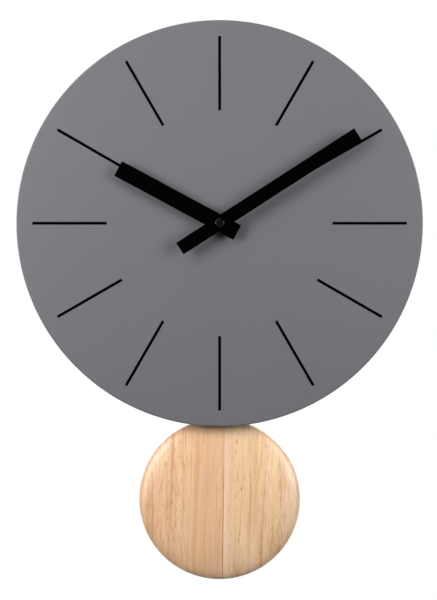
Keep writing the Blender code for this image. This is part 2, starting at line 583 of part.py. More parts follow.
def make_motor():
    """Stator, coil on its core, and the circuit board that drives them."""
    yoke = [(-6, 25.5), (-6, 12.2), (17, 12.2), (17, 25.5), (13.8, 25.5), (13.8, 17.6), (-2.8, 17.6),
            (-2.8, 25.5)]
    stator = part("stator_plate", plate([[(x * MM, y * MM) for x, y in yoke]], 13.8 * MM, 15 * MM),
                  STEEL, CLOCK)
    join(stator, cylinder(4.7 * MM, 13.8 * MM, 15 * MM, 20, ROTOR_AT))
    cut(stator, cylinder(3.5 * MM, 13 * MM, 17 * MM, 20, ROTOR_AT))
    part("coil_core", box(-5.6 * MM, 16.6 * MM, COIL_Y - 1 * MM, COIL_Y + 1 * MM, COIL_Z - 0.6 * MM,
                          COIL_Z + 0.6 * MM), STEEL, CLOCK)
    winding = along_x(tube(3 * MM, 1.6 * MM, -2.2 * MM, 13.2 * MM, 16), COIL_Y, COIL_Z)
    part("coil_winding", winding, COPPER, CLOCK)

    board = rounded_rectangle(-25.9 * MM, -8.5 * MM, 18.4 * MM, 25.9 * MM, 2.2 * MM, 2)
    part("circuit_board", plate([board], 14 * MM, 14.8 * MM), BOARD, CLOCK)
    part("quartz_crystal", along_x(cylinder(1.1 * MM, -20 * MM, -14 * MM, 14), 24.2 * MM, 16.2 * MM), STEEL,
         CLOCK)
    part("clock_chip", turned([(0, 16.2 * MM), (1.2 * MM, 16 * MM), (2 * MM, 15.6 * MM),
                               (2.4 * MM, 15.1 * MM), (0, 15.1 * MM)], 16, False, (-15 * MM, 20.8 * MM)),
         EPOXY, CLOCK)


def make_battery():
    tray = axis("battery_slide")
    half = BATTERY_HALF_LENGTH
    cell = [(0, half), (2.7 * MM, half), (2.7 * MM, half - 1.3 * MM), (6.6 * MM, half - 1.3 * MM),
            (BATTERY_RADIUS, half - 2 * MM), (BATTERY_RADIUS, -half + 0.6 * MM),
            (6.6 * MM, -half), (0, -half)]
    part("battery", along_x(turned(cell, 24), BATTERY_Y, BATTERY_Z), CELL, tray)
    for name, side in (("battery_contact_positive", 1), ("battery_contact_negative", -1)):
        blade = plate([rounded_rectangle(-5 * MM, 5 * MM, -4.5 * MM, 4.5 * MM, 1 * MM, 2)],
                      half + GAP, half + GAP + 0.4 * MM)
        blade = along_x(blade, BATTERY_Y, BATTERY_Z)
        if side < 0:
            blade.transform(Matrix.Translation((0, 2 * BATTERY_Y, 0)) @ Matrix.Rotation(pi, 4, 'Z'))
        part(name, blade, NICKEL, CLOCK)


# ---------------------------------------------------------------- pendulum

def make_pendulum_drive():
    centre = (0, PIVOT_Y + MAGNET_Y)
    bobbin = [(7.4 * MM, 24.8 * MM), (7.4 * MM, 24.1 * MM), (2.5 * MM, 24.1 * MM), (2.5 * MM, 19.9 * MM),
              (7.4 * MM, 19.9 * MM), (7.4 * MM, 19.2 * MM), (1.2 * MM, 19.2 * MM), (1.2 * MM, 24.8 * MM)]
    part("drive_coil_bobbin", turned(bobbin, 20, True, centre), ACETAL, CLOCK)
    part("drive_coil_winding", tube(6.9 * MM, 2.8 * MM, 20.2 * MM, 23.8 * MM, 20, centre), COPPER, CLOCK)
    outline = rounded_rectangle(12.5 * MM, 25 * MM, -70 * MM, -46 * MM, 0.8 * MM, 2)
    part("drive_board", plate([outline], 23.8 * MM, 24.6 * MM), BOARD, CLOCK)
    part("rocker_pin", cylinder(1 * MM, COVER_FRONT - 0.7 * MM, CASE_FLOOR + 0.7 * MM, 16, (0, PIVOT_Y)),
         STEEL, CLOCK)


def make_pendulum():
    swing = axis("pendulum_axis", (0, PIVOT_Y))
    lever = rounded_rectangle(-4 * MM, 4 * MM, -53.5 * MM, 2 * MM, 2 * MM, 2)
    rocker = part("rocker", plate([lever], 15 * MM, 18 * MM), ACETAL, swing)
    join(rocker, cylinder(3.8 * MM, 13.5 * MM, 20 * MM, 20),
         cylinder(5.9 * MM, 15 * MM, 18 * MM, 24, (0, MAGNET_Y)),
         cylinder(1.3 * MM, 11 * MM, 16 * MM, 12, (0, HOOK_Y)),
         box(-1.2 * MM, 1.2 * MM, HOOK_Y - 1.1 * MM, HOOK_Y + 3.7 * MM, 10.2 * MM, 11.4 * MM))
    cut(rocker, cylinder(1.35 * MM, 12 * MM, 22 * MM, 16),
        cylinder(4.3 * MM, 14 * MM, 19 * MM, 24, (0, MAGNET_Y)))
    part("rocker_magnet", cylinder(4 * MM, 15.1 * MM, 17.9 * MM, 24, (0, MAGNET_Y)), STEEL, swing)

    strip = rounded_rectangle(-ROD_HALF_WIDTH, ROD_HALF_WIDTH, ROD_END, ROD_TOP, 2.9 * MM, 4)
    eye_top = HOOK_Y
    eye = arc((0, eye_top), 1.7 * MM, 0, 180, 6) + arc((0, eye_top - 3.8 * MM), 1.7 * MM, 180, 360, 6)
    holes = [circle(1.75 * MM, (0, y), 12) for y in BOB_SCREWS]
    part("pendulum_rod", plate([strip, eye, *holes], ROD_BACK, ROD_FRONT), STEEL, swing)

    front, back = BOB_FRONT, BOB_BACK
    disc = [(0, front)]
    for share in (0.4, 0.6, 0.74, 0.85, 0.93, 0.98, 1.0):
        fall = BOB_CROWN * (1 - (1 - share ** BOB_CROWN_POWER) ** 0.5)
        disc.append((BOB_RADIUS * share, front - fall))
    disc += [(BOB_RADIUS, back + 1 * MM), (BOB_RADIUS - 1 * MM, back), (0, back)]
    bob = part("pendulum_bob", turned(disc, 72, False, (0, BOB_Y)), WOOD, swing)
    cut(bob, box(-3.5 * MM, 3.5 * MM, ROD_END - 0.5 * MM, BOB_Y + BOB_RADIUS + 1 * MM, back - 1 * MM,
                 ROD_FRONT + GAP),
        *[cylinder(1.75 * MM, ROD_FRONT, 19.5 * MM, 12, (0, y)) for y in BOB_SCREWS])
    for place, y in zip(("upper", "lower"), BOB_SCREWS):
        part(f"bob_screw_{place}", pan_screw(3 * MM, 1.45 * MM, 9.7 * MM, 2 * MM, 7 * MM, (0, y)), STEEL,
             swing)


make_dial()
make_housing()
make_case()
make_centre_fixing()
make_motor()
make_train()
make_motion_work()
make_battery()
make_pendulum_drive()
make_pendulum()
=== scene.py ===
"""Looks of the pendulum wall clock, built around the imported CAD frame.

Pieces are made in the face frame, x to the right, y up and z out from the wall, with the hand
axis at x = y = 0.  FACE turns it into the frame of the CAD, in which the front looks along -Y.
"""

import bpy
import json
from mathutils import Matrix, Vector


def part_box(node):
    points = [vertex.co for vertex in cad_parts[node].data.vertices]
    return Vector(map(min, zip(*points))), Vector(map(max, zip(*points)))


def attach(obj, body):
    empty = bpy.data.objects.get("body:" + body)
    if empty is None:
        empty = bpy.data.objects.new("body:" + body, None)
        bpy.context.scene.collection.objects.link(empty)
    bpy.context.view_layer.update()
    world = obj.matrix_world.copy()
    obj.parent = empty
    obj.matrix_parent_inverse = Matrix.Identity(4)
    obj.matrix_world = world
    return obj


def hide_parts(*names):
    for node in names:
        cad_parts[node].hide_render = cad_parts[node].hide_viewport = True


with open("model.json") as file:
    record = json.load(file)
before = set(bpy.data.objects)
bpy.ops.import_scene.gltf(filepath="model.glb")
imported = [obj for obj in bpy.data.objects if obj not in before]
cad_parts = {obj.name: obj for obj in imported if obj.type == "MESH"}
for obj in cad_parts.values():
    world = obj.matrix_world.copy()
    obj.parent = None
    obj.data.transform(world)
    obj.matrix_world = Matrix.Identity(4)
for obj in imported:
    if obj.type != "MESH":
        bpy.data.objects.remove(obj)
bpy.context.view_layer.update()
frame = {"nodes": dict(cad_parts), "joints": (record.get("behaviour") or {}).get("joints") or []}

import json
from math import atan2, cos, hypot, pi, radians, sin

import bmesh
import bpy
from mathutils import Matrix, Vector

MM = 0.001
NODES = frame["nodes"]
JOINTS = {joint["name"]: joint for joint in frame["joints"]}
SHAFT_Z = JOINTS["minute_turn"]["pos_m"][2]
FACE = Matrix.Translation((0, 0, SHAFT_Z)) @ Matrix.Rotation(pi / 2, 4, 'X')
PLACES = ("upper_left", "upper_right", "lower_left", "lower_right")
SIDES = ("left", "right")
HUB_HOLE = 4.3 * MM                # radii of holes: round the threaded bush,
MINUTE_BORE = 1.85 * MM            # round the minute tube,
SCREW_HOLE = 1.75 * MM             # and round screws and rivets
PENDULUM_PIVOT_Y = JOINTS["pendulum_swing"]["pos_m"][2] - SHAFT_Z


def face_box(node):
    """Lowest and highest corner of a CAD node in the face frame."""
    low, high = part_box(node)
    return (Vector((low.x, low.z - SHAFT_Z, -high.y)), Vector((high.x, high.z - SHAFT_Z, -low.y)))


def face_centre(node):
    low, high = face_box(node)
    return (low + high) / 2


# ---- outlines

def arc(centre, radius, start, end, steps):
    """Points along an arc, the angles in degrees."""
    angles = [radians(start + (end - start) * i / steps) for i in range(steps + 1)]
    return [(centre[0] + radius * cos(a), centre[1] + radius * sin(a)) for a in angles]


def circle(radius, centre=(0, 0), sides=48):
    return arc(centre, radius, 0, 360, sides)[:-1]


def rounded_rectangle(left, right, bottom, top, radius, steps=8):
    corners = [(right - radius, top - radius, 0), (left + radius, top - radius, 90),
               (left + radius, bottom + radius, 180), (right - radius, bottom + radius, 270)]
    return [point for x, y, start in corners
            for point in arc((x, y), radius, start, start + 90, steps)]


def framed(left, right, bottom, top, margin, radius):
    """A rounded rectangle drawn a margin outside the one given, or inside if it is negative."""
    return rounded_rectangle(left - margin, right + margin, bottom - margin, top + margin, radius)


def softened(corners, closed=False, steps=5):
    """A line through (x, y, radius) corners, each corner rounded to its radius.

    A rounding takes up at most most_of_edge of the edges beside it.
    """
    count, most_of_edge = len(corners), 0.49
    line = []
    for i, (x, y, radius) in enumerate(corners):
        if radius == 0 or (not closed and i in (0, count - 1)):
            line.append((x, y))
            continue
        here = Vector((x, y))
        before = Vector(corners[i - 1][:2]) - here
        after = Vector(corners[(i + 1) % count][:2]) - here
        half = before.angle(after) / 2
        reach = min(radius / abs(sin(half) / cos(half)), before.length * most_of_edge,
                    after.length * most_of_edge)
        start, end = here + before.normalized() * reach, here + after.normalized() * reach
        for step in range(steps + 1):
            t = step / steps
            line.append(tuple(start * (1 - t) ** 2 + here * 2 * t * (1 - t) + end * t ** 2))
    return line


def rotated(points, degrees):
    c, s = cos(radians(degrees)), sin(radians(degrees))
    return [(c * x - s * y, s * x + c * y) for x, y in points]


# ---- solids

def tidy(edit, shortest=1e-7):
    """The mesh of an edit, its double points merged and its faces turned outwards."""
    bmesh.ops.remove_doubles(edit, verts=edit.verts, dist=shortest)
    bmesh.ops.recalc_face_normals(edit, faces=edit.faces)
    mesh = bpy.data.meshes.new("shape")
    edit.to_mesh(mesh)
    edit.free()
    return mesh


def turned(profile, sides=64, ring=False):
    """Spin (radius, depth) points about the z axis."""
    edit = bmesh.new()
    verts = [edit.verts.new((radius, 0, z)) for radius, z in profile]
    pairs = list(zip(verts, verts[1:])) + ([(verts[-1], verts[0])] if ring else [])
    edges = [edit.edges.new(pair) for pair in pairs]
    bmesh.ops.spin(edit, geom=verts + edges, axis=(0, 0, 1), cent=(0, 0, 0), angle=2 * pi,
                   steps=sides, use_merge=True)
    return tidy(edit)


def evaluated(obj):
    """The mesh of an object with its modifiers applied; the object is removed."""
    graph = bpy.context.evaluated_depsgraph_get()
    mesh = bpy.data.meshes.new_from_object(obj.evaluated_get(graph))
    bpy.data.objects.remove(obj, do_unlink=True)
    return mesh


def linked(data, name="shape"):
    obj = bpy.data.objects.new(name, data)
    bpy.context.scene.collection.objects.link(obj)
    return obj


def plate(rings, back, front):
    """A flat sheet between two depths: the first ring is its outline, the others are holes."""
    curve = bpy.data.curves.new("outline", 'CURVE')
    curve.dimensions = '2D'
    curve.fill_mode = 'BOTH'
    curve.extrude = (front - back) / 2
    for ring in rings:
        spline = curve.splines.new('POLY')
        spline.points.add(len(ring) - 1)
        for point, (x, y) in zip(spline.points, ring):
            point.co = (x, y, 0, 1)
        spline.use_cyclic_u = True
    edit = bmesh.new()
    edit.from_mesh(evaluated(linked(curve)))
    bmesh.ops.remove_doubles(edit, verts=edit.verts, dist=1e-6)
    bmesh.ops.dissolve_limit(edit, angle_limit=radians(1), verts=edit.verts, edges=edit.edges)
    bmesh.ops.translate(edit, verts=edit.verts, vec=(0, 0, (front + back) / 2))
    return tidy(edit)


def block(left, right, bottom, top, back, front):
    edit = bmesh.new()
    bmesh.ops.create_cube(edit, size=1)
    size = Matrix.Diagonal((right - left, top - bottom, front - back, 1))
    centre = Vector((left + right, bottom + top, back + front)) / 2
    bmesh.ops.transform(edit, matrix=Matrix.Translation(centre) @ size, verts=edit.verts)
    return tidy(edit)


def cylinder(radius, back, front, centre=(0, 0), sides=32):
    mesh = turned([(0, front), (radius, front), (radius, back), (0, back)], sides)
    mesh.transform(Matrix.Translation((*centre, 0)))
    return mesh


def swept(ring, section):
    """Sweep an (inset, depth) section round an outline and close its two ends with flat faces."""
    edit = bmesh.new()
    loops = [[edit.verts.new((x, y, z)) for x, y in ring(inset)] for inset, z in section]
    for one, other in zip(loops, loops[1:]):
        for i in range(len(one)):
            j = (i + 1) % len(one)
            edit.faces.new((one[i], one[j], other[j], other[i]))
    edit.faces.new(loops[0])
    edit.faces.new(loops[-1])
    return tidy(edit)


def combined(mesh, operation, tools):
    """A mesh united with, cut by or cut down to each of the tools in turn."""
    for tool in tools:
        base, helper = linked(mesh), linked(tool, "helper")
        boolean = base.modifiers.new("Boolean", 'BOOLEAN')
        boolean.operation = operation
        boolean.solver = 'EXACT'
        boolean.object = helper
        mesh = evaluated(base)
        bpy.data.objects.remove(helper, do_unlink=True)
    return mesh


def carved(mesh, cuts=(), joins=()):
    """Join solids to a mesh, then cut others from it."""
    return cleaned(combined(combined(mesh, 'UNION', joins), 'DIFFERENCE', cuts))


def cleaned(mesh, shortest=0.004 * MM):
    """Take out the zero-width faces that a bevel or a cut leaves where edges meet."""
    edit = bmesh.new()
    edit.from_mesh(mesh)
    bmesh.ops.remove_doubles(edit, verts=edit.verts, dist=shortest)
    bmesh.ops.dissolve_degenerate(edit, dist=shortest, edges=edit.edges)
    edit.to_mesh(mesh)
    edit.free()
    return mesh


def joined(meshes):
    """Several closed shapes in one mesh, without working out where they cross."""
    edit = bmesh.new()
    for mesh in meshes:
        edit.from_mesh(mesh)
    made = bpy.data.meshes.new("shape")
    edit.to_mesh(made)
    edit.free()
    return made


def bevelled(mesh, width, segments=3, angle=30):
    obj = linked(mesh)
    bevel = obj.modifiers.new("Bevel", 'BEVEL')
    bevel.width = width
    bevel.segments = segments
    bevel.limit_method = 'ANGLE'
    bevel.angle_limit = radians(angle)
    bevel.miter_outer = 'MITER_ARC'
    return cleaned(evaluated(obj))


def piece(name, mesh, look, body, nodes=(), origin=(0, 0, 0), flat=False):
    """Put a face-frame mesh into the scene as a piece that rides on a body.

    flat is for pieces with large flat faces: these keep their own direction up to their edges.
    """
    mesh.name = name
    mesh.materials.clear()
    mesh.materials.append(look)
    mesh.shade_smooth()
    mesh.set_sharp_from_angle(angle=radians(38))
    obj = linked(mesh, name)
    if flat:
        normals = obj.modifiers.new("WeightedNormal", 'WEIGHTED_NORMAL')
        normals.keep_sharp = True
    obj.matrix_world = FACE @ Matrix.Translation(origin)
    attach(obj, body)
    if nodes:
        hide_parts(*nodes)
    return obj


# ---- material helper

class Look:
    """A Principled material, with short calls for the texture nodes that feed it."""

    def __init__(self, name, **sockets):
        self.material = bpy.data.materials.new(name)
        self.material.use_nodes = True
        self.tree = self.material.node_tree
        self.shader = self.tree.nodes["Principled BSDF"]
        self.position = self.tree.nodes.new('ShaderNodeTexCoord').outputs["Object"]
        for socket, value in sockets.items():
            self.set(socket.replace("_", " "), value)

    def set(self, socket, value):
        self.feed(self.shader.inputs[socket], value)

    def feed(self, socket, value):
        if isinstance(value, bpy.types.NodeSocket):
            self.tree.links.new(value, socket)
        elif isinstance(value, (tuple, list)) and socket.type == 'RGBA':
            socket.default_value = (*value, 1.0)[:4]
        else:
            socket.default_value = value

    def node(self, kind, *inputs, **settings):
        made = self.tree.nodes.new(kind)
        for name, value in settings.items():
            setattr(made, name, value)
        for socket, value in zip(made.inputs, inputs):
            if value is not None:
                self.feed(socket, value)
        return made

    def stretched(self, x, y, z):
        mapping = self.node('ShaderNodeMapping', self.position)
        mapping.inputs["Scale"].default_value = (x, y, z)
        return mapping.outputs[0]

    def noise(self, scale, detail=2.0, roughness=0.5, source=None, distortion=0.0):
        made = self.node('ShaderNodeTexNoise')
        self.feed(made.inputs["Vector"], source or self.position)
        for socket, value in (("Scale", scale), ("Detail", detail), ("Roughness", roughness),
                              ("Distortion", distortion)):
            made.inputs[socket].default_value = value
        return made.outputs["Fac"]

    def cells(self, scale):
        made = self.node('ShaderNodeTexVoronoi')
        self.feed(made.inputs["Vector"], self.position)
        made.inputs["Scale"].default_value = scale
        return made.outputs["Distance"]

    def math(self, operation, a, b=0.0):
        return self.node('ShaderNodeMath', a, b, operation=operation).outputs[0]

    def times(self, a, b):
        return self.math('MULTIPLY', a, b)

    def blend(self, share, a, b):
        return self.math('ADD', self.times(a, share), self.times(b, 1 - share))

    def fit(self, value, low, high, to_low=0.0, to_high=1.0, smooth=False):
        """Map low to high onto another range, without going past its ends."""
        kind = 'SMOOTHSTEP' if smooth else 'LINEAR'
        made = self.node('ShaderNodeMapRange', interpolation_type=kind)
        for socket, item in zip(("Value", "From Min", "From Max", "To Min", "To Max"),
                                (value, low, high, to_low, to_high)):
            self.feed(made.inputs[socket], item)
        return made.outputs[0]

    def ramp(self, value, *stops):
        made = self.node('ShaderNodeValToRGB', value)
        elements = made.color_ramp.elements
        while len(elements) < len(stops):
            elements.new(0.5)
        for element, (at, colour) in zip(elements, stops):
            element.position = at
            element.color = (*colour, 1.0)
        return made.outputs["Color"]

    def mix(self, share, a, b, blend='MIX'):
        made = self.node('ShaderNodeMix', data_type='RGBA', blend_type=blend)
        for socket, value in zip(("Factor", "A", "B"), (share, a, b)):
            found = [s for s in made.inputs if s.name == socket and s.enabled]
            self.feed(found[0], value)
        return next(s for s in made.outputs if s.enabled)

    def stained(self, share, colour, tint):
        """A colour multiplied by a tint, where share is above 0."""
        return self.mix(share, colour, self.mix(1.0, colour, tint, 'MULTIPLY'))

    def shaded(self, colour, value):
        """A colour multiplied by one number."""
        grey = self.node('ShaderNodeCombineColor', value, value, value).outputs[0]
        return self.mix(1.0, colour, grey, 'MULTIPLY')

    def axes(self):
        return self.node('ShaderNodeSeparateXYZ', self.position).outputs

    def bump(self, height, distance, strength=1.0):
        """Relief of a height of 0 to 1 over a distance in metres, over any relief set before."""
        made = self.node('ShaderNodeBump')
        self.feed(made.inputs["Height"], height)
        made.inputs["Distance"].default_value = distance
        made.inputs["Strength"].default_value = strength
        normal = self.shader.inputs["Normal"]
        if normal.is_linked:
            self.tree.links.new(normal.links[0].from_socket, made.inputs["Normal"])
        self.tree.links.new(made.outputs[0], normal)

    def tinted(self, colour, scale, amount, detail=3.0, source=None):
        """A colour that drifts a little lighter and darker with a noise."""
        drift = self.fit(self.noise(scale, detail, source=source), 0.3, 0.7, 1 - amount, 1 + amount)
        return self.shaded(colour, drift)


# ---- materials

DIAL_GREY = (0.105, 0.105, 0.1155)
WOOD_LEFT = ((0.617, 0.368, 0.216), (0.666, 0.416, 0.255), (0.703, 0.469, 0.302))
WOOD_RIGHT = ((0.638, 0.402, 0.242), (0.700, 0.471, 0.302), (0.754, 0.547, 0.372))
YELLOW_TINT = (1.01, 1.025, 0.935)
LINE_TINT = (0.85, 0.75, 0.64)
HAIR_TINT = (0.82, 0.73, 0.63)
STREAK_TINT = (0.8, 0.67, 0.54)
SEAM_BROWN = (0.28, 0.13, 0.06)
PORE_BROWN = (0.27, 0.12, 0.05)
JOINT_X = 0.0026                   # where the two staves of the bob meet, at its middle
JOINT_LEAN = 0.0143                # how far that joint leans to the right per metre up
STREAK_LEAN = 0.03
GRAIN_STREAKS = ((-0.0346, 0.0016, 0.85), (-0.021, 0.001, 0.6), (-0.0095, 0.0012, 0.4),
                 (0.0008, 0.0009, 0.45), (0.0152, 0.001, 0.55), (0.0215, 0.0022, 0.45),
                 (0.031, 0.001, 0.6), (0.0445, 0.001, 0.5))  # place, half width, strength


def powder_coat():
    """Fine matt powder coat: slight orange peel and a very fine grain."""
    look = Look("powder_coat_grey", IOR=1.45)
    look.set("Base Color", look.tinted(DIAL_GREY, 14, 0.012))
    look.set("Roughness", look.fit(look.noise(2600, 2), 0.3, 0.7, 0.52, 0.62))
    look.bump(look.noise(420, 2, 0.6), 0.00004, 0.25)
    look.bump(look.noise(2600, 3, 0.7), 0.00003, 0.35)
    return look.material


def printed_ink():
    look = Look("black_print", IOR=1.5, Specular_IOR_Level=0.02)
    look.set("Base Color", look.tinted((0.0003, 0.0003, 0.0005), 700, 0.15))
    look.set("Roughness", look.fit(look.noise(1800, 3), 0.3, 0.7, 0.28, 0.36))
    look.bump(look.noise(2600, 2), 0.00001, 0.5)
    return look.material


def hand_lacquer():
    """Satin black lacquer on punched aluminium."""
    look = Look("satin_black_lacquer", IOR=1.5, Specular_IOR_Level=0.03)
    look.set("Base Color", look.tinted((0.0005, 0.0005, 0.0006), 240, 0.2))
    look.set("Roughness", look.fit(look.noise(900, 4, 0.65), 0.3, 0.7, 0.2, 0.26))
    look.bump(look.noise(1500, 3, 0.6), 0.00001, 0.25)
    look.bump(look.noise(160, 2), 0.00005, 0.2)
    return look.material


def gloss_black():
    look = Look("gloss_black_cap", IOR=1.5, Coat_Weight=0.4, Coat_Roughness=0.1)
    look.set("Base Color", look.tinted((0.002, 0.002, 0.002), 900, 0.2))
    look.set("Roughness", look.fit(look.noise(1500, 3), 0.3, 0.7, 0.16, 0.26))
    look.bump(look.noise(1400, 2), 0.00001, 0.3)
    return look.material


def moulded(name, colour, grain=1400, depth=0.00003, roughness=(0.5, 0.64), drift=0.06, **sockets):
    """Injection-moulded plastic: a spark-eroded grain over faint flow marks."""
    look = Look(name, IOR=1.5, **sockets)
    look.set("Base Color", look.tinted(colour, 60, drift))
    flow = look.noise(35, 3, source=look.stretched(1, 0.25, 1), distortion=0.8)
    fine = look.noise(grain, 4, 0.7)
    look.set("Roughness", look.fit(look.blend(0.5, flow, fine), 0.35, 0.65, *roughness))
    look.bump(fine, depth, 0.6)
    look.bump(flow, 0.00008, 0.15)
    return look.material


def rubber_look():
    look = Look("black_rubber", IOR=1.45)
    dust = look.fit(look.noise(180, 5, 0.65), 0.48, 0.75, smooth=True)
    look.set("Base Color", look.mix(dust, (0.012, 0.012, 0.012), (0.035, 0.034, 0.032)))
    look.set("Roughness", look.fit(dust, 0, 1, 0.72, 0.92))
    look.bump(look.noise(2400, 4, 0.7), 0.00004, 0.6)
    return look.material


def brushed(name, colour, grain, scale, roughness, stain=None):
    """Bare or plated metal; grain squeezes the noise along the brushing direction."""
    look = Look(name, Metallic=1.0)
    lines = look.noise(scale, 3, 0.6, look.stretched(*grain))
    cloud = look.noise(45, 4, 0.6)
    tone = look.tinted(colour, 300, 0.04, source=look.stretched(*grain))
    if stain:
        tone = look.mix(look.fit(cloud, 0.45, 0.75, 0, 0.45), tone, stain)
    look.set("Base Color", tone)
    look.set("Roughness", look.fit(look.blend(0.6, lines, cloud), 0.35, 0.65, *roughness))
    look.bump(lines, 0.000012, 0.5)
    return look.material


def copper_wire(along):
    """Enamelled wire wound in close turns round an axis of the piece, with painted shade in the
    grooves between turns and painted light on their crests.
    """
    look = Look(f"enamelled_wire_{along.lower()}", Metallic=0.85, Coat_Weight=0.5,
                Coat_Roughness=0.12)
    pitch = 0.22 * MM
    turn = look.math('SINE', look.times(look.axes()[along], 2 * pi / pitch))
    # Painted shade and light: the colour runs from dark copper in each groove to bright copper on
    # each crest.
    look.set("Base Color", look.mix(look.fit(turn, -1, 1), (0.3, 0.09, 0.03), (0.78, 0.3, 0.11)))
    look.set("Roughness", look.fit(look.noise(500, 2), 0.3, 0.7, 0.22, 0.36))
    look.bump(look.fit(turn, -1, 1), 0.00008, 0.8)
    return look.material


def circuit_board_look():
    """Green solder mask over copper tracks, with tinned pads where tracks end."""
    look = Look("circuit_board", IOR=1.5, Coat_Weight=0.3, Coat_Roughness=0.2)
    bricks = look.node('ShaderNodeTexBrick')
    look.feed(bricks.inputs["Vector"], look.position)
    for socket, value in (("Scale", 260.0), ("Mortar Size", 0.012), ("Mortar Smooth", 0.1),
                          ("Brick Width", 0.9), ("Row Height", 0.34)):
        bricks.inputs[socket].default_value = value
    track = bricks.outputs["Fac"]
    pads = look.fit(look.cells(520), 0.16, 0.2, 1, 0)
    mask = look.mix(track, (0.012, 0.11, 0.04), (0.03, 0.22, 0.08))
    look.set("Base Color", look.mix(pads, mask, (0.55, 0.55, 0.52)))
    look.set("Metallic", look.times(pads, 0.9))
    look.set("Roughness", look.fit(look.noise(700, 3), 0.3, 0.7, 0.3, 0.45))
    look.bump(look.math('MAXIMUM', track, pads), 0.00003, 0.7)
    return look.material


def cell_sleeve():
    """Battery sleeve without print: blue, with a pale band at the positive end and steel ends."""
    low, high = face_box("battery")
    look = Look("battery_sleeve", IOR=1.5, Coat_Weight=0.4, Coat_Roughness=0.08)
    along = look.fit(look.axes()["X"], low.x, high.x)
    body = look.tinted((0.018, 0.05, 0.17), 90, 0.1)
    band = look.tinted((0.55, 0.57, 0.6), 200, 0.05)
    stripe = look.times(look.fit(along, 0.755, 0.757), look.fit(along, 0.768, 0.77, 1, 0))
    is_band = look.math('MAXIMUM', look.fit(along, 0.78, 0.782), stripe)
    is_can = look.math('ADD', look.fit(along, 0.962, 0.964), look.fit(along, 0.018, 0.02, 1, 0))
    look.set("Base Color", look.mix(is_can, look.mix(is_band, body, band), (0.6, 0.6, 0.58)))
    look.set("Metallic", look.math('MAXIMUM', look.times(is_band, 0.7), is_can))
    look.set("Roughness", look.fit(look.noise(420, 4, 0.6), 0.3, 0.7, 0.24, 0.36))
    look.bump(look.noise(240, 3, source=look.stretched(0.2, 1, 1)), 0.00003, 0.3)
    return look.material


def wood():
    """Lacquered light hardwood glued from two staves, its grain upright, with painted light towards
    the top of the bob and painted shade towards its bottom.
    """
    look = Look("light_hardwood", IOR=1.5, Coat_Weight=0.6, Coat_Roughness=0.38)
    x, y, z = look.axes()
    wave = look.fit(look.noise(9, 2, source=look.stretched(0.6, 1, 0.6)), 0.3, 0.7, -0.001, 0.001)
    joint = look.math('ADD', look.times(y, JOINT_LEAN), JOINT_X)
    from_joint = look.math('SUBTRACT', x, joint)
    right = look.fit(from_joint, -0.00008, 0.00008)
    other_board = look.times(right, 0.31)
    across = look.math('ADD', look.math('ADD', x, wave), other_board)

    def grain(length):
        """Texture coordinates whose features are 1 / length times as long as they are wide."""
        return look.node('ShaderNodeCombineXYZ', across, look.times(y, length),
                         look.times(z, 0.25)).outputs[0]

    broad = look.noise(95, 3, 0.5, grain(0.12))
    rings = look.noise(330, 2, 0.6, grain(0.03))
    fine = look.noise(1300, 3, 0.65, grain(0.075))
    tones = [look.ramp(broad, *zip((0.32, 0.5, 0.7), stave)) for stave in (WOOD_LEFT, WOOD_RIGHT)]
    colour = look.mix(right, *tones)
    yellow = look.fit(look.noise(140, 2, source=grain(0.06)), 0.4, 0.6, smooth=True)
    colour = look.stained(yellow, colour, YELLOW_TINT)
    # Painted light and shade: the wood colour is multiplied from 0.96 at the bottom of the bob to
    # 1.06 at its top.
    colour = look.shaded(colour, look.fit(y, -0.045, 0.045, 0.96, 1.06))

    lines = look.fit(rings, 0.5, 0.68, 0, 0.7, smooth=True)
    colour = look.stained(lines, colour, LINE_TINT)
    hair = look.times(look.fit(fine, 0.48, 0.64, 0, 1.1, smooth=True),
                      look.fit(look.noise(75, 1, source=grain(0.12)), 0.38, 0.62, 0.25, 1.15))
    colour = look.stained(hair, colour, HAIR_TINT)

    leaning = look.math('ADD', look.math('SUBTRACT', x, look.times(y, STREAK_LEAN)), wave)
    for at, half_width, strength in GRAIN_STREAKS:
        away = look.math('ABSOLUTE', look.math('SUBTRACT', leaning, at))
        fading = look.fit(look.noise(40, 2, source=grain(0.5)), 0.35, 0.6, 0.35, 1)
        streak = look.times(look.fit(away, 0.0002, half_width, strength, 0, smooth=True), fading)
        colour = look.stained(streak, colour, STREAK_TINT)
    pale = look.times(right, look.fit(from_joint, 0.002, 0.0062, 0.6, 0, smooth=True))
    colour = look.mix(pale, colour, WOOD_RIGHT[2])
    uneven = look.math('ADD', y, look.fit(look.noise(60, 1), 0.3, 0.7, -0.03, 0.03))
    off_joint = look.math('ABSOLUTE', from_joint)
    seam = look.times(look.fit(off_joint, 0.0001, 0.00055, 0.9, 0, smooth=True),
                      look.fit(uneven, -0.02, 0.03, 1, 0.45))
    colour = look.mix(seam, colour, SEAM_BROWN)

    pore = look.fit(look.noise(1250, 0, 0.5, grain(0.15)), 0.69, 0.79, smooth=True)
    crowd = look.fit(look.noise(70, 2, 0.5, grain(0.1)), 0.42, 0.64, 0.15, 1)
    pore = look.times(pore, crowd)
    colour = look.mix(look.times(pore, 0.55), colour, PORE_BROWN)
    look.set("Base Color", colour)
    look.set("Roughness", look.fit(look.math('ADD', rings, pore), 0.3, 1.1, 0.38, 0.6))
    look.bump(fine, 0.00002, 0.2)
    look.bump(look.math('SUBTRACT', 1.0, pore), 0.00006, 0.6)
    return look.material


EVEN, UPRIGHT, ROUND_Z = (1, 1, 1), (1, 0.03, 1), (1, 1, 0.05)  # grain directions of metal

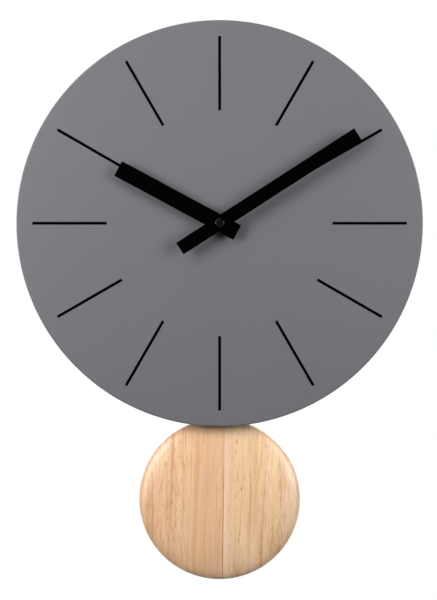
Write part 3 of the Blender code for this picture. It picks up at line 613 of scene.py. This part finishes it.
COAT = powder_coat()
INK = printed_ink()
LACQUER = hand_lacquer()
CAP_BLACK = gloss_black()
HOUSING_ABS = moulded("black_abs", (0.014, 0.014, 0.0145), grain=1100, depth=0.00005)
CASE_ABS = moulded("movement_case_abs", (0.022, 0.022, 0.023), roughness=(0.38, 0.5))
COVER_ABS = moulded("movement_cover_abs", (0.03, 0.03, 0.031), roughness=(0.4, 0.52))
ACETAL = moulded("natural_acetal", (0.74, 0.73, 0.68), depth=0.00001, roughness=(0.34, 0.46),
                 drift=0.02, Subsurface_Weight=0.08, Subsurface_Radius=(0.001, 0.001, 0.001))
ACETAL_BLACK = moulded("black_acetal", (0.02, 0.02, 0.02), depth=0.00001, roughness=(0.36, 0.48))
KNOB_RED = moulded("setting_knob_acetal", (0.3, 0.022, 0.014), depth=0.00001,
                   roughness=(0.34, 0.46))
ROTOR_LOOK = moulded("rotor_compound", (0.04, 0.04, 0.042), grain=2000, roughness=(0.5, 0.62))
RUBBER = rubber_look()
ZINC = brushed("zinc_plated_steel", (0.62, 0.63, 0.64), EVEN, 500, (0.26, 0.42),
               stain=(0.5, 0.52, 0.56))
ROD_STEEL = brushed("rolled_steel_strip", (0.58, 0.58, 0.58), UPRIGHT, 1600, (0.24, 0.36))
BRASS = brushed("brass", (0.78, 0.55, 0.22), ROUND_Z, 1200, (0.2, 0.34), stain=(0.6, 0.38, 0.14))
NICKEL = brushed("nickel_strip", (0.64, 0.61, 0.55), (1, 0.05, 1), 1500, (0.2, 0.32))
MAGNET = brushed("nickel_plated_magnet", (0.66, 0.65, 0.63), EVEN, 800, (0.12, 0.2))
WIRE = copper_wire('Z')
WIRE_X = copper_wire('X')
BOARD = circuit_board_look()
EPOXY = moulded("black_epoxy", (0.008, 0.008, 0.008), grain=600, depth=0.00001,
                roughness=(0.16, 0.26))
CELL = cell_sleeve()
WOOD = wood()


# ---- dial and hands

def make_dial():
    """A sheet with a turned rim, and the hour bars printed on it as a thin film."""
    low, high = face_box("dial_plate")
    radius, wall, rim = high.x, 1 * MM, 1.5 * MM
    inner, flat_to = high.z - wall, radius - 8 * MM
    outside = softened([(HUB_HOLE, high.z, 0), (HUB_HOLE + 0.2 * MM, high.z, 0),
                        (flat_to, high.z, 0), (radius - 2.2 * MM, high.z, 0),
                        (radius, high.z, rim), (radius, low.z, 0)], steps=10)
    inside = softened([(radius, low.z, 0), (radius - 0.35 * MM, low.z, 0),
                       (radius - wall, low.z, 0.3 * MM), (radius - wall, inner, rim - wall),
                       (flat_to, inner, 0), (HUB_HOLE, inner, 0)], steps=6)
    piece("dial_sheet", turned(outside + inside[1:], 288, ring=True), COAT, "clock_body",
          ["dial_plate"])

    bar_from, bar_to, half_width = 79.1 * MM, 131.3 * MM, 1 * MM
    film, lift = 0.03 * MM, 0.005 * MM
    bar = rounded_rectangle(-half_width, half_width, bar_from, bar_to, 0.15 * MM, 4)
    bars = [plate([rotated(bar, 30 * hour)], high.z + lift, high.z + lift + film)
            for hour in range(12)]
    piece("printed_hour_bars", joined(bars), INK, "clock_body")


def make_hand(name, node, body, bore):
    """A hand as long, wide and turned as the CAD hand, with edges rounded by tumbling."""
    corners = {(round(v.co.x, 6), round(v.co.z - SHAFT_Z, 6)) for v in NODES[node].data.vertices}
    far = sorted(corners, key=lambda c: -hypot(*c))[:2]
    along = Vector(far[0]) + Vector(far[1])
    half_width = (Vector(far[0]) - Vector(far[1])).length / 2
    direction = along.normalized()
    tip, corner = along.length / 2, 0.15 * MM
    tail = -min(Vector(c).dot(direction) for c in corners)
    low, high = face_box(node)
    ring = softened([(tip, -half_width, corner), (tip, half_width, corner),
                     (-tail, half_width, corner), (-tail, -half_width, corner)],
                    closed=True, steps=3)
    angle = atan2(direction.y, direction.x) * 180 / pi
    mesh = plate([rotated(ring, angle), circle(bore)], low.z, high.z)
    piece(name, bevelled(mesh, 0.12 * MM), LACQUER, body, [node], flat=True)


def make_cap_nut():
    """A plain flat cap with a rounded rim, hollow behind for the end of the minute tube."""
    low, high = face_box("hand_nut")
    radius, foot, floor, edge = high.x, high.x - 0.15 * MM, high.z - 0.7 * MM, 0.05 * MM
    profile = softened([(0, high.z, 0), (1.2 * MM, high.z, 0), (2.4 * MM, high.z, 0),
                        (radius, high.z, 0.4 * MM), (radius, low.z + 0.35 * MM, 0.1 * MM),
                        (foot, low.z + 0.2 * MM, edge), (foot, low.z, edge),
                        (MINUTE_BORE, low.z, edge), (MINUTE_BORE, floor, 0),
                        (0, floor, 0)], steps=6)
    piece("cap_nut", turned(profile, 72), CAP_BLACK, "minute_work", ["hand_nut"],
          flat=True)


def make_washer(name, node, look, edges, sides, steps):
    """A washer round the threaded bush; edges are its outer and inner rounding."""
    low, high = face_box(node)
    outer, inner = edges
    ring = softened([(high.x, high.z, outer), (high.x, low.z, outer), (HUB_HOLE, low.z, inner),
                     (HUB_HOLE, high.z, inner)], closed=True, steps=steps)
    piece(name, turned(ring, sides, ring=True), look, "clock_body", [node])


def make_centre_stack():
    """Washers, hexagon nut and threaded bush that hold the movement to the dial."""
    make_washer("washer_brass", "brass_washer", BRASS, (0.15 * MM, 0.1 * MM), 72, 3)

    low, high = face_box("centre_nut")
    hexagon = plate([circle(high.x, sides=6), circle(HUB_HOLE)], low.z, high.z)
    flat_to, past_corner, slope = high.x * 0.86, high.x * 1.02, 0.55 * MM
    chamfer = turned([(0, high.z), (flat_to, high.z), (past_corner, high.z - slope),
                      (past_corner, low.z + slope), (flat_to, low.z), (0, low.z)], 72)
    mesh = bevelled(cleaned(combined(hexagon, 'INTERSECT', [chamfer])), 0.06 * MM, 2)
    piece("hexagon_nut", mesh, BRASS, "clock_body", ["centre_nut"], flat=True)

    low, high = face_box("centre_bush")
    crest, root, pitch, bore = 4 * MM, 3.62 * MM, 0.75 * MM, 2.75 * MM
    thread_back, thread_front, flange = low.z + 1.6 * MM, high.z - 0.3 * MM, low.z + 0.9 * MM
    profile = [(bore, high.z), (root, high.z)]
    for turn in range(int((thread_front - thread_back) / pitch)):
        z = thread_front - turn * pitch
        profile += [(crest, z - pitch * 0.4), (crest, z - pitch * 0.55), (root, z - pitch)]
    profile += [(root, flange), (high.x, flange), (high.x, low.z), (bore, low.z)]
    piece("threaded_bush", turned(profile, 56, ring=True), BRASS, "clock_body",
          ["centre_bush"])

    make_washer("washer_rubber", "rubber_washer", RUBBER, (0.4 * MM, 0.2 * MM), 64, 4)


# ---- fasteners

def pan_screw(low, high, shank, blade, thread=0.5 * MM):
    """A pan head with a cross recess, its head towards the wall, on a threaded shank."""
    radius, core = (high.x - low.x) / 2, shank * 0.8
    head = low.z + min(0.26 * (high.z - low.z), 2.1 * MM)
    profile = softened([(0, low.z, 0), (radius * 0.55, low.z + 0.06 * MM, 0.6 * radius),
                        (radius * 0.93, (low.z + head) / 2, 0.3 * radius),
                        (radius, head - 0.12 * MM, 0.1 * MM), (radius - 0.12 * MM, head, 0),
                        (shank, head, 0)], steps=4)
    z = head
    while z + thread < high.z - shank:
        profile += [(core, z + thread * 0.2), (shank, z + thread * 0.6), (core, z + thread)]
        z += thread
    profile += [(core, high.z - core), (0, high.z)]
    reach, half, depth = radius * 0.58, blade / 2, low.z + (head - low.z) * 0.75
    cross = [block(-reach, reach, -half, half, low.z - 1 * MM, depth),
             block(-half, half, -reach, reach, low.z - 1 * MM, depth)]
    return carved(turned(profile, 40), cuts=cross)


def make_screws():
    """Every screw, each turned to another angle so that their recesses don't line up."""
    large, small, turn = (1.45 * MM, 0.75 * MM), (0.8 * MM, 0.45 * MM), 37
    for number, node in enumerate(sorted(n for n in NODES if "_screw_" in n)):
        low, high = face_box(node)
        centre = (low + high) / 2
        mesh = pan_screw(low, high, *(small if node.startswith("cover") else large))
        mesh.transform(Matrix.Rotation(radians(turn * number), 4, 'Z'))
        body = "pendulum" if node.startswith("bob") else "clock_body"
        piece(f"cross_head_{node}", mesh, ZINC, body, [node], (*centre.xy, 0))


def make_standoffs():
    for place in PLACES:
        node = f"dial_standoff_{place}"
        low, high = face_box(node)
        centre = (low + high) / 2
        radius = (high.x - low.x) / 2
        ring = softened([(radius, high.z, 0), (radius, high.z - 0.5 * MM, 0.1 * MM),
                         (radius, low.z, 0.25 * MM), (SCREW_HOLE, low.z, 0.2 * MM),
                         (SCREW_HOLE, high.z, 0)], closed=True, steps=3)
        piece(f"welded_standoff_{place}", turned(ring, 40, ring=True), ZINC, "clock_body",
              [node], (*centre.xy, 0))


# ---- back housing and hanger

def make_housing():
    """A tray with screw wells, ribs, a window for the movement and a keyhole opening."""
    low, high = face_box("back_housing")
    floor, wall, corner, lip = 4 * MM, 2.2 * MM, 14 * MM, 8 * MM
    left, right, bottom, top = window = (-30 * MM, 30 * MM, -84 * MM, 29.5 * MM)

    def ring(inset):
        return rounded_rectangle(low.x + inset, high.x - inset, low.y + inset, high.y - inset,
                                 corner - inset, 10)

    section = softened([(lip, floor, 0), (wall, floor, 1.2 * MM), (wall, high.z, 0.15 * MM),
                        (0, high.z, 0.3 * MM), (0, low.z, 2.6 * MM), (lip, low.z, 0)], steps=6)
    wells = [face_centre(f"housing_screw_{place}").xy for place in PLACES]
    bumpers = [face_centre(f"wall_bumper_{place}").xy for place in PLACES]
    rivets = [face_centre(f"hanger_rivet_{side}").xy for side in SIDES]
    rear, depth, rib_foot = low.z - 1 * MM, floor + 1 * MM, floor - 0.4 * MM
    well_floor, well_top, half_rib = 20 * MM, 22.5 * MM, 0.6 * MM

    joins = [cylinder(5 * MM, low.z + 1 * MM, well_top, well, 40) for well in wells]
    for well, side, up in zip(wells, (-1, 1, -1, 1), (1, 1, -1, -1)):
        x = side * 36 * MM
        joins.append(block(x - half_rib, x + half_rib, well.y, well.y + up * 10 * MM, rib_foot,
                           well_top - 3 * MM))
    for side in (-1, 1):
        x = side * 44.5 * MM
        joins += [block(x - 1 * MM, x + 1 * MM - side * 0.4 * MM, y * MM - half_rib,
                        y * MM + half_rib, rib_foot, high.z - 1.2 * MM) for y in (-50, -22, 6, 34)]
    cuts = [plate([rounded_rectangle(*window, 3 * MM)], rear, depth),
            block(-18 * MM, 18 * MM, low.y - 1 * MM, bottom + 1 * MM, rear, high.z + 1 * MM),
            plate([rounded_rectangle(-8 * MM, 8 * MM, 32.5 * MM, 51 * MM, 3 * MM)], rear, depth)]
    for well in wells:
        cuts += [cylinder(3.75 * MM, rear, well_floor, well, 40),
                 cylinder(SCREW_HOLE, well_floor - 1 * MM, well_top + 1 * MM, well, 24)]
    cuts += [cylinder(SCREW_HOLE, rear, depth, rivet, 24) for rivet in rivets]
    cuts += [cylinder(5.6 * MM, rear, low.z + 0.25 * MM, bumper, 48) for bumper in bumpers]
    cuts += [cylinder(1.6 * MM, rear, low.z + 0.12 * MM, (x * MM, y * MM), 32)
             for x in (-40, 40) for y in (8, -32, -83)]
    housing = bevelled(carved(swept(ring, section), cuts, joins), 0.22 * MM, 3, 40)
    bead_bottom = bottom + 5 * MM
    bead = plate([framed(left, right, bead_bottom + 0.8 * MM, top, 1.8 * MM, 4.4 * MM),
                  framed(left, right, bead_bottom, top, -0.5 * MM, 2.4 * MM)],
                 low.z - 0.35 * MM, low.z + 0.6 * MM)
    piece("rear_housing", joined([housing, bevelled(bead, 0.2 * MM)]), HOUSING_ABS, "clock_body",
          ["back_housing"], flat=True)

    for place, centre in zip(PLACES, bumpers):
        low, high = face_box(f"wall_bumper_{place}")
        radius = (high.x - low.x) / 2
        pad = softened([(0, high.z, 0), (radius, high.z, 0.1 * MM),
                        (radius, low.z + 0.75 * MM, 0.4 * MM), (radius * 0.78, low.z, 0.9 * MM),
                        (radius * 0.35, low.z, 0.2 * MM), (0, low.z + 0.1 * MM, 0)], steps=6)
        piece(f"rubber_pad_{place}", turned(pad, 56), RUBBER, "clock_body",
              [f"wall_bumper_{place}"], (*centre, 0))


def make_hanger():
    """The keyhole plate, whose slot ends where the wall hook bears, and its two rivets."""
    low, high = face_box("hanger_plate")
    slot_top = -SHAFT_Z
    slot, entry, entry_y, meeting = 2.25 * MM, 4.5 * MM, 38.5 * MM, 30
    keyhole = arc((0, entry_y), entry, 90 + meeting, 450 - meeting, 30)
    keyhole += arc((0, slot_top - slot), slot, 0, 180, 16)
    rivets = [face_centre(f"hanger_rivet_{side}") for side in SIDES]
    holes = [circle(SCREW_HOLE, rivet.xy, 32) for rivet in rivets]
    outline = rounded_rectangle(low.x, high.x, low.y, high.y, 3 * MM)
    mesh = bevelled(plate([outline, keyhole, *holes], low.z, high.z), 0.15 * MM)
    piece("keyhole_plate", mesh, ZINC, "clock_body", ["hanger_plate"], flat=True)
    for side, rivet in zip(SIDES, rivets):
        low, high = face_box(f"hanger_rivet_{side}")
        front, rear, shank = high.z - 0.9 * MM, low.z + 0.7 * MM, 1.4 * MM
        profile = softened([(0, high.z - 0.25 * MM, 0), (0.8 * MM, high.z, 0.3 * MM),
                            (2.1 * MM, front + 0.3 * MM, 0.5 * MM), (2.4 * MM, front, 0.1 * MM),
                            (shank, front, 0), (shank, rear, 0), (2.8 * MM, rear, 0.1 * MM),
                            (2.5 * MM, low.z + 0.15 * MM, 0.4 * MM), (0, low.z, 0)], steps=4)
        piece(f"hollow_rivet_{side}", turned(profile, 40), ZINC, "clock_body",
              [f"hanger_rivet_{side}"], (*rivet.xy, 0))


# ---- movement

def double_arrow(radius, start, end, width, centre):
    """A curved arrow round a centre with a head at both ends, as one outline."""
    reach, barb = 20, 1.5 * width

    def at(distance, angle):
        return arc(centre, distance, angle, angle, 1)[0]

    def head(angle, turn, side):
        return [at(radius + side * barb, angle), at(radius, angle + turn),
                at(radius - side * barb, angle)]

    return (arc(centre, radius + width / 2, start, end, 14) + head(end, reach, 1)
            + arc(centre, radius - width / 2, end, start, 14) + head(start, -reach, -1))


def make_rear_cover():
    """A bevelled sheet with the openings of the cover, and its raised marks as shells on it."""
    low, high = face_box("movement_rear_cover")
    bay_low, bay_high = face_box("battery")
    bay_y, bay_half = (bay_low.y + bay_high.y) / 2, 7.9 * MM
    bay = (-26 * MM, 26 * MM, bay_y - bay_half, bay_y + bay_half)
    knob = face_centre("setting_knob").xy
    screws_at = [face_centre(f"cover_screw_{place}").xy for place in PLACES]
    outline = rounded_rectangle(low.x, high.x, low.y, high.y, 4 * MM, 10)
    holes = [rounded_rectangle(*bay, 0.6 * MM, 4), circle(1.3 * MM, knob, 32),
             *[circle(1.15 * MM, at, 24) for at in screws_at]]
    sheet = bevelled(plate([outline, *holes], low.z, high.z), 0.3 * MM, 4)

    raised, seat = low.z - 0.4 * MM, low.z + 0.2 * MM
    rings = [[circle(7.2 * MM, knob, 64), circle(6.5 * MM, knob, 64)],
             [framed(*bay, 1.6 * MM, 1.8 * MM), framed(*bay, 0.7 * MM, 1 * MM)],
             [double_arrow(9.2 * MM, 92, 165, 0.7 * MM, knob)]]
    rib, half_rib = 17 * MM, 0.7 * MM
    rings += [[rounded_rectangle(-rib, rib, y * MM - half_rib, y * MM + half_rib, 0.68 * MM, 5)]
              for y in (-43, -48.4, -53.8, -59.2, -64.6)]
    rings += [[circle(1.8 * MM, face_centre(name).xy, 32)]
              for name in ("seconds_wheel", "third_wheel", "fifth_wheel", "rotor")]
    mark_y, mark, stroke = bay[3] + 4.2 * MM, 1.7 * MM, 0.3 * MM
    minus_x, plus_x = -16 * MM, 12.6 * MM
    rings.append([rounded_rectangle(minus_x - mark, minus_x + mark, mark_y - stroke,
                                    mark_y + stroke, 0.2 * MM, 3)])
    arm = [(stroke, stroke), (stroke, mark), (-stroke, mark)]
    rings.append([[(plus_x + x, mark_y + y) for turn in range(4)
                   for x, y in rotated(arm, 90 * turn)]])
    relief = [bevelled(plate(ring, raised, seat), 0.12 * MM, 2) for ring in rings]
    piece("movement_cover", joined([sheet, *relief]), COVER_ABS, "clock_body",
          ["movement_rear_cover"], flat=True)


def make_setting_knob():
    """A ribbed wheel with a ring-shaped hollow in its face, on a collar."""
    low, high = face_box("setting_knob")
    centre = (low + high) / 2
    outer, root, ribs = 5.5 * MM, 5.15 * MM, 24
    tooth = [(root, -0.28 * MM), (outer, -0.2 * MM), (outer, 0.2 * MM), (root, 0.28 * MM)]
    grip = [point for i in range(ribs) for point in rotated(tooth, 360 * i / ribs)]
    bore = circle(1.25 * MM, sides=32)
    wheel = plate([grip, bore], low.z, low.z + 2.6 * MM)
    collar = plate([circle(4.6 * MM, sides=56), bore], low.z + 2.2 * MM, high.z)
    above, shoulder, deep = low.z - 0.5 * MM, low.z + 0.3 * MM, low.z + 0.55 * MM
    dish = turned([(2.2 * MM, above), (4.2 * MM, above), (4.2 * MM, shoulder), (3.9 * MM, deep),
                   (2.5 * MM, deep), (2.2 * MM, shoulder)], 56, ring=True)
    mesh = bevelled(carved(wheel, cuts=[dish], joins=[collar]), 0.1 * MM, 2, 35)
    piece("time_setting_knob", mesh, KNOB_RED, "setting_work", ["setting_knob"],
          (*centre.xy, 0), flat=True)


def make_battery():
    """An AA cell: a stepped positive cap, a rolled shoulder at both ends and a flat base."""
    low, high = face_box("battery")
    half, radius = high.x, (high.y - low.y) / 2
    groove = -half + 0.6 * MM
    profile = softened([(0, half, 0), (2.6 * MM, half, 0.5 * MM),
                        (2.7 * MM, half - 1.15 * MM, 0.15 * MM),
                        (5.4 * MM, half - 1.2 * MM, 0.3 * MM),
                        (5.7 * MM, half - 1.75 * MM, 0.2 * MM),
                        (6.5 * MM, half - 1.6 * MM, 0.3 * MM), (radius, half - 2.1 * MM, 0.5 * MM),
                        (radius, 0, 0), (radius, -half + 0.7 * MM, 0.6 * MM),
                        (6.3 * MM, -half + 0.15 * MM, 0.2 * MM), (5.9 * MM, groove, 0.15 * MM),
                        (5.4 * MM, groove, 0.15 * MM), (5.1 * MM, -half, 0.3 * MM),
                        (0, -half, 0)], steps=4)
    mesh = turned(profile, 96)
    mesh.transform(Matrix.Rotation(pi / 2, 4, 'Y'))
    piece("cell", mesh, CELL, "battery_cell", ["battery"], (low + high) / 2)


def keep(look, *names):
    """CAD nodes whose shape is right stay, with a better material."""
    for name in names:
        for material_slot in NODES[name].material_slots:
            material_slot.material = look


def keep_inner_pieces():
    keep(CASE_ABS, "movement_front_case")
    keep(ACETAL, "seconds_wheel", "third_wheel", "fifth_wheel", "motion_wheel", "hour_wheel",
         "setting_wheel", "rocker", "drive_coil_bobbin")
    keep(ACETAL_BLACK, "middle_plate")
    keep(ROTOR_LOOK, "rotor")
    keep(BRASS, "centre_wheel")
    keep(ZINC, "stator_plate", "coil_core", "quartz_crystal", "rocker_pin", "motion_pin")
    keep(MAGNET, "rocker_magnet")
    keep(WIRE_X, "coil_winding")
    keep(WIRE, "drive_coil_winding")
    keep(BOARD, "circuit_board", "drive_board")
    keep(EPOXY, "clock_chip")


def make_contacts():
    """Leaves of nickel-plated spring strip, each with a dimple pressed towards the cell."""
    for side, sign in (("positive", -1), ("negative", 1)):
        node = f"battery_contact_{side}"
        low, high = face_box(node)
        outer_x = high.x if sign < 0 else low.x
        strip, top, seat = 0.3 * MM, 0.4 * MM, 0.1 * MM
        half_y, half_z = (high.y - low.y) / 2, (high.z - low.z) / 2
        rings = [rounded_rectangle(-half_z, half_z, -half_y, half_y, 0.8 * MM, 5)]
        leaf = bevelled(plate(rings, 0, strip), 0.05 * MM, 2)
        dimple = turned(softened([(0, top, 0), (1.1 * MM, top, 0.3 * MM),
                                  (1.7 * MM, strip, 0.1 * MM), (1.7 * MM, seat, 0),
                                  (0, seat, 0)], steps=5), 48)
        mesh = joined([leaf, dimple])
        place = Matrix.Translation((outer_x, (low.y + high.y) / 2, (low.z + high.z) / 2))
        mesh.transform(place @ Matrix.Rotation(radians(90 * sign), 4, 'Y'))
        piece(f"contact_leaf_{side}", mesh, NICKEL, "clock_body", [node], flat=True)


# ---- pendulum

BOB_SCREWS = ("bob_screw_upper", "bob_screw_lower")


def make_rod():
    """A flat strip with a long eye that hangs on the rocker's hook."""
    low, high = face_box("pendulum_rod")
    hook, eye_radius, eye_length = PENDULUM_PIVOT_Y - 50.3 * MM, 1.7 * MM, 3.8 * MM
    eye = (arc((0, hook), eye_radius, 0, 180, 14)
           + arc((0, hook - eye_length), eye_radius, 180, 360, 14))
    holes = [circle(SCREW_HOLE, face_centre(node).xy, 32) for node in BOB_SCREWS]
    strip = rounded_rectangle(low.x, high.x, low.y, high.y, 2.9 * MM)
    mesh = bevelled(plate([strip, eye, *holes], low.z, high.z), 0.12 * MM)
    piece("flat_rod", mesh, ROD_STEEL, "pendulum", ["pendulum_rod"], flat=True)


def make_bob():
    """A disc with a crowned front and a groove for the rod down its back."""
    low, high = face_box("pendulum_bob")
    centre = (low + high) / 2
    radius, front, back = (high.x - low.x) / 2, high.z, low.z
    rod_low, rod_high = face_box("pendulum_rod")
    crown, power, steps, first_step = 6.5 * MM, 5, 28, 3
    profile = [(0, front)]
    for i in range(first_step, steps + 1):
        share = sin(radians(90 * i / steps))
        fall = crown * (1 - max(0, 1 - share ** power) ** 0.5)
        profile.append((radius * share, front - fall))
    profile += softened([(radius, front - crown - 0.3 * MM, 0), (radius, back, 2 * MM),
                         (radius - 6 * MM, back, 0), (radius * 0.5, back, 0), (0, back, 0)],
                        steps=8)
    groove = block(-3.5 * MM, 3.5 * MM, rod_low.y - centre.y - 0.5 * MM, radius + 1 * MM,
                   back - 1 * MM, rod_high.z + 0.3 * MM)
    holes = [cylinder(SCREW_HOLE, rod_high.z, front - 2 * MM,
                      (0, face_centre(node).y - centre.y), 32) for node in BOB_SCREWS]
    piece("wooden_bob", carved(turned(profile, 240), cuts=[groove, *holes]), WOOD, "pendulum",
          ["pendulum_bob"], (*centre.xy, 0))


make_dial()
make_hand("minute_blade", "minute_hand", "minute_work", MINUTE_BORE)
make_hand("hour_blade", "hour_hand", "hour_work", 2.8 * MM)
make_cap_nut()
make_centre_stack()
make_screws()
make_standoffs()
make_housing()
make_hanger()
make_rear_cover()
make_setting_knob()
make_battery()
keep_inner_pieces()
make_contacts()
make_rod()
make_bob()


# ---- floor, light and camera

FLOOR_RADIUS = 25
FLOOR_HEIGHT = -2.3
FLOOR_GLOW = 0.62
FRONT_AMBIENT = 0.03
REAR_AMBIENT = 0.8
OVERHEAD = 0.3
SOFTBOXES = (                      # name, place, target, diameter, watts, mirrored or not
    ("left_softbox", (-0.60, -0.53, 0.07), (0, 0, -0.02), 0.48, 7.1),
    ("right_softbox", (0.60, -0.53, 0.07), (0, 0, -0.02), 0.48, 5.8),
    ("upper_softbox", (-0.3, -0.5, 0.45), (0, 0, 0), 0.5, 1.8),
    ("top_softbox", (0, -0.35, 0.6), (0, 0, -0.05), 0.5, 0.6),
    ("lower_softbox", (0, -0.35, -0.6), (0, 0, -0.15), 0.5, 0.22, False),
    ("rear_softbox", (0.7, 1.3, 0.6), (0, 0, -0.1), 0.8, 9),
)
SENSOR = 24                        # height of the camera's sensor in millimetres
CAMERA_DISTANCE = 3.4
FRAME_HEIGHT = 0.4206              # height of the view at the dial
FRAME_RIGHT = 0.0008               # dial centre right of and above the middle of the view
FRAME_UP = 0.0538


def make_floor():
    """A pale disc far below the clock, clear of views from below, that sheds no light on it."""
    mesh = bpy.data.meshes.new("floor")
    rim = [(x, y, 0) for x, y in circle(FLOOR_RADIUS, sides=128)]
    mesh.from_pydata(rim, [], [range(len(rim))])
    floor = linked(mesh, "floor")
    floor.location = (0, 0, FLOOR_HEIGHT)
    look = Look("pale_floor", Roughness=0.8, Emission_Strength=FLOOR_GLOW)
    look.set("Base Color", look.tinted((0.86, 0.86, 0.86), 3, 0.01))
    look.set("Emission Color", (1, 1, 1))
    mesh.materials.append(look.material)
    floor.visible_diffuse = floor.visible_glossy = False


def make_world():
    """White to the camera; as a light it is dim in front, and bright behind and overhead."""
    world = bpy.data.worlds.new("studio")
    bpy.context.scene.world = world
    world.use_nodes = True
    tree = world.node_tree
    link, new = tree.links.new, tree.nodes.new
    light, seen = tree.nodes["Background"], new('ShaderNodeBackground')
    light.inputs["Color"].default_value = seen.inputs["Color"].default_value = (1, 1, 1, 1)
    direction = new('ShaderNodeSeparateXYZ')
    link(new('ShaderNodeTexCoord').outputs["Generated"], direction.inputs[0])
    total = new('ShaderNodeMath')
    parts = (("Y", (-0.25, 0.35, FRONT_AMBIENT, REAR_AMBIENT)), ("Z", (0.8, 0.9, 0.0, OVERHEAD)))
    for term, (axis, values) in zip(total.inputs, parts):
        strength = new('ShaderNodeMapRange')
        link(direction.outputs[axis], strength.inputs["Value"])
        for socket, value in zip(("From Min", "From Max", "To Min", "To Max"), values):
            strength.inputs[socket].default_value = value
        link(strength.outputs[0], term)
    link(total.outputs[0], light.inputs["Strength"])
    mix, to_camera = new('ShaderNodeMixShader'), new('ShaderNodeLightPath').outputs["Is Camera Ray"]
    for source, socket in zip((to_camera, light.outputs[0], seen.outputs[0]), mix.inputs):
        link(source, socket)
    link(mix.outputs[0], tree.nodes["World Output"].inputs["Surface"])


def area_light(name, place, target, size, watts, mirrored=True):
    """A round lamp that no camera sees; one that isn't mirrored leaves no highlight either."""
    data = bpy.data.lights.new(name, 'AREA')
    data.shape = 'DISK'
    data.size = size
    data.energy = watts
    light = linked(data, name)
    light.visible_camera = False
    light.location = place
    aim = Vector(target) - Vector(place)
    light.rotation_euler = aim.to_track_quat('-Z', 'Y').to_euler()
    light.visible_glossy = mirrored


def make_camera():
    """Straight in front, far off, with the dial's centre above the middle of the frame."""
    dial = (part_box("dial_plate")[0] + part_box("dial_plate")[1]) / 2
    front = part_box("dial_plate")[0].y
    data = bpy.data.cameras.new("camera")
    camera = linked(data, "camera")
    data.sensor_fit = 'VERTICAL'
    data.sensor_height = SENSOR
    data.lens = SENSOR * CAMERA_DISTANCE / FRAME_HEIGHT
    data.clip_end = 50
    camera.location = (dial.x - FRAME_RIGHT, front - CAMERA_DISTANCE, dial.z - FRAME_UP)
    camera.rotation_euler = (pi / 2, 0, 0)
    bpy.context.scene.camera = camera


make_floor()
make_world()
for softbox in SOFTBOXES:
    area_light(*softbox)
make_camera()
bpy.context.scene.view_settings.view_transform = 'Standard'
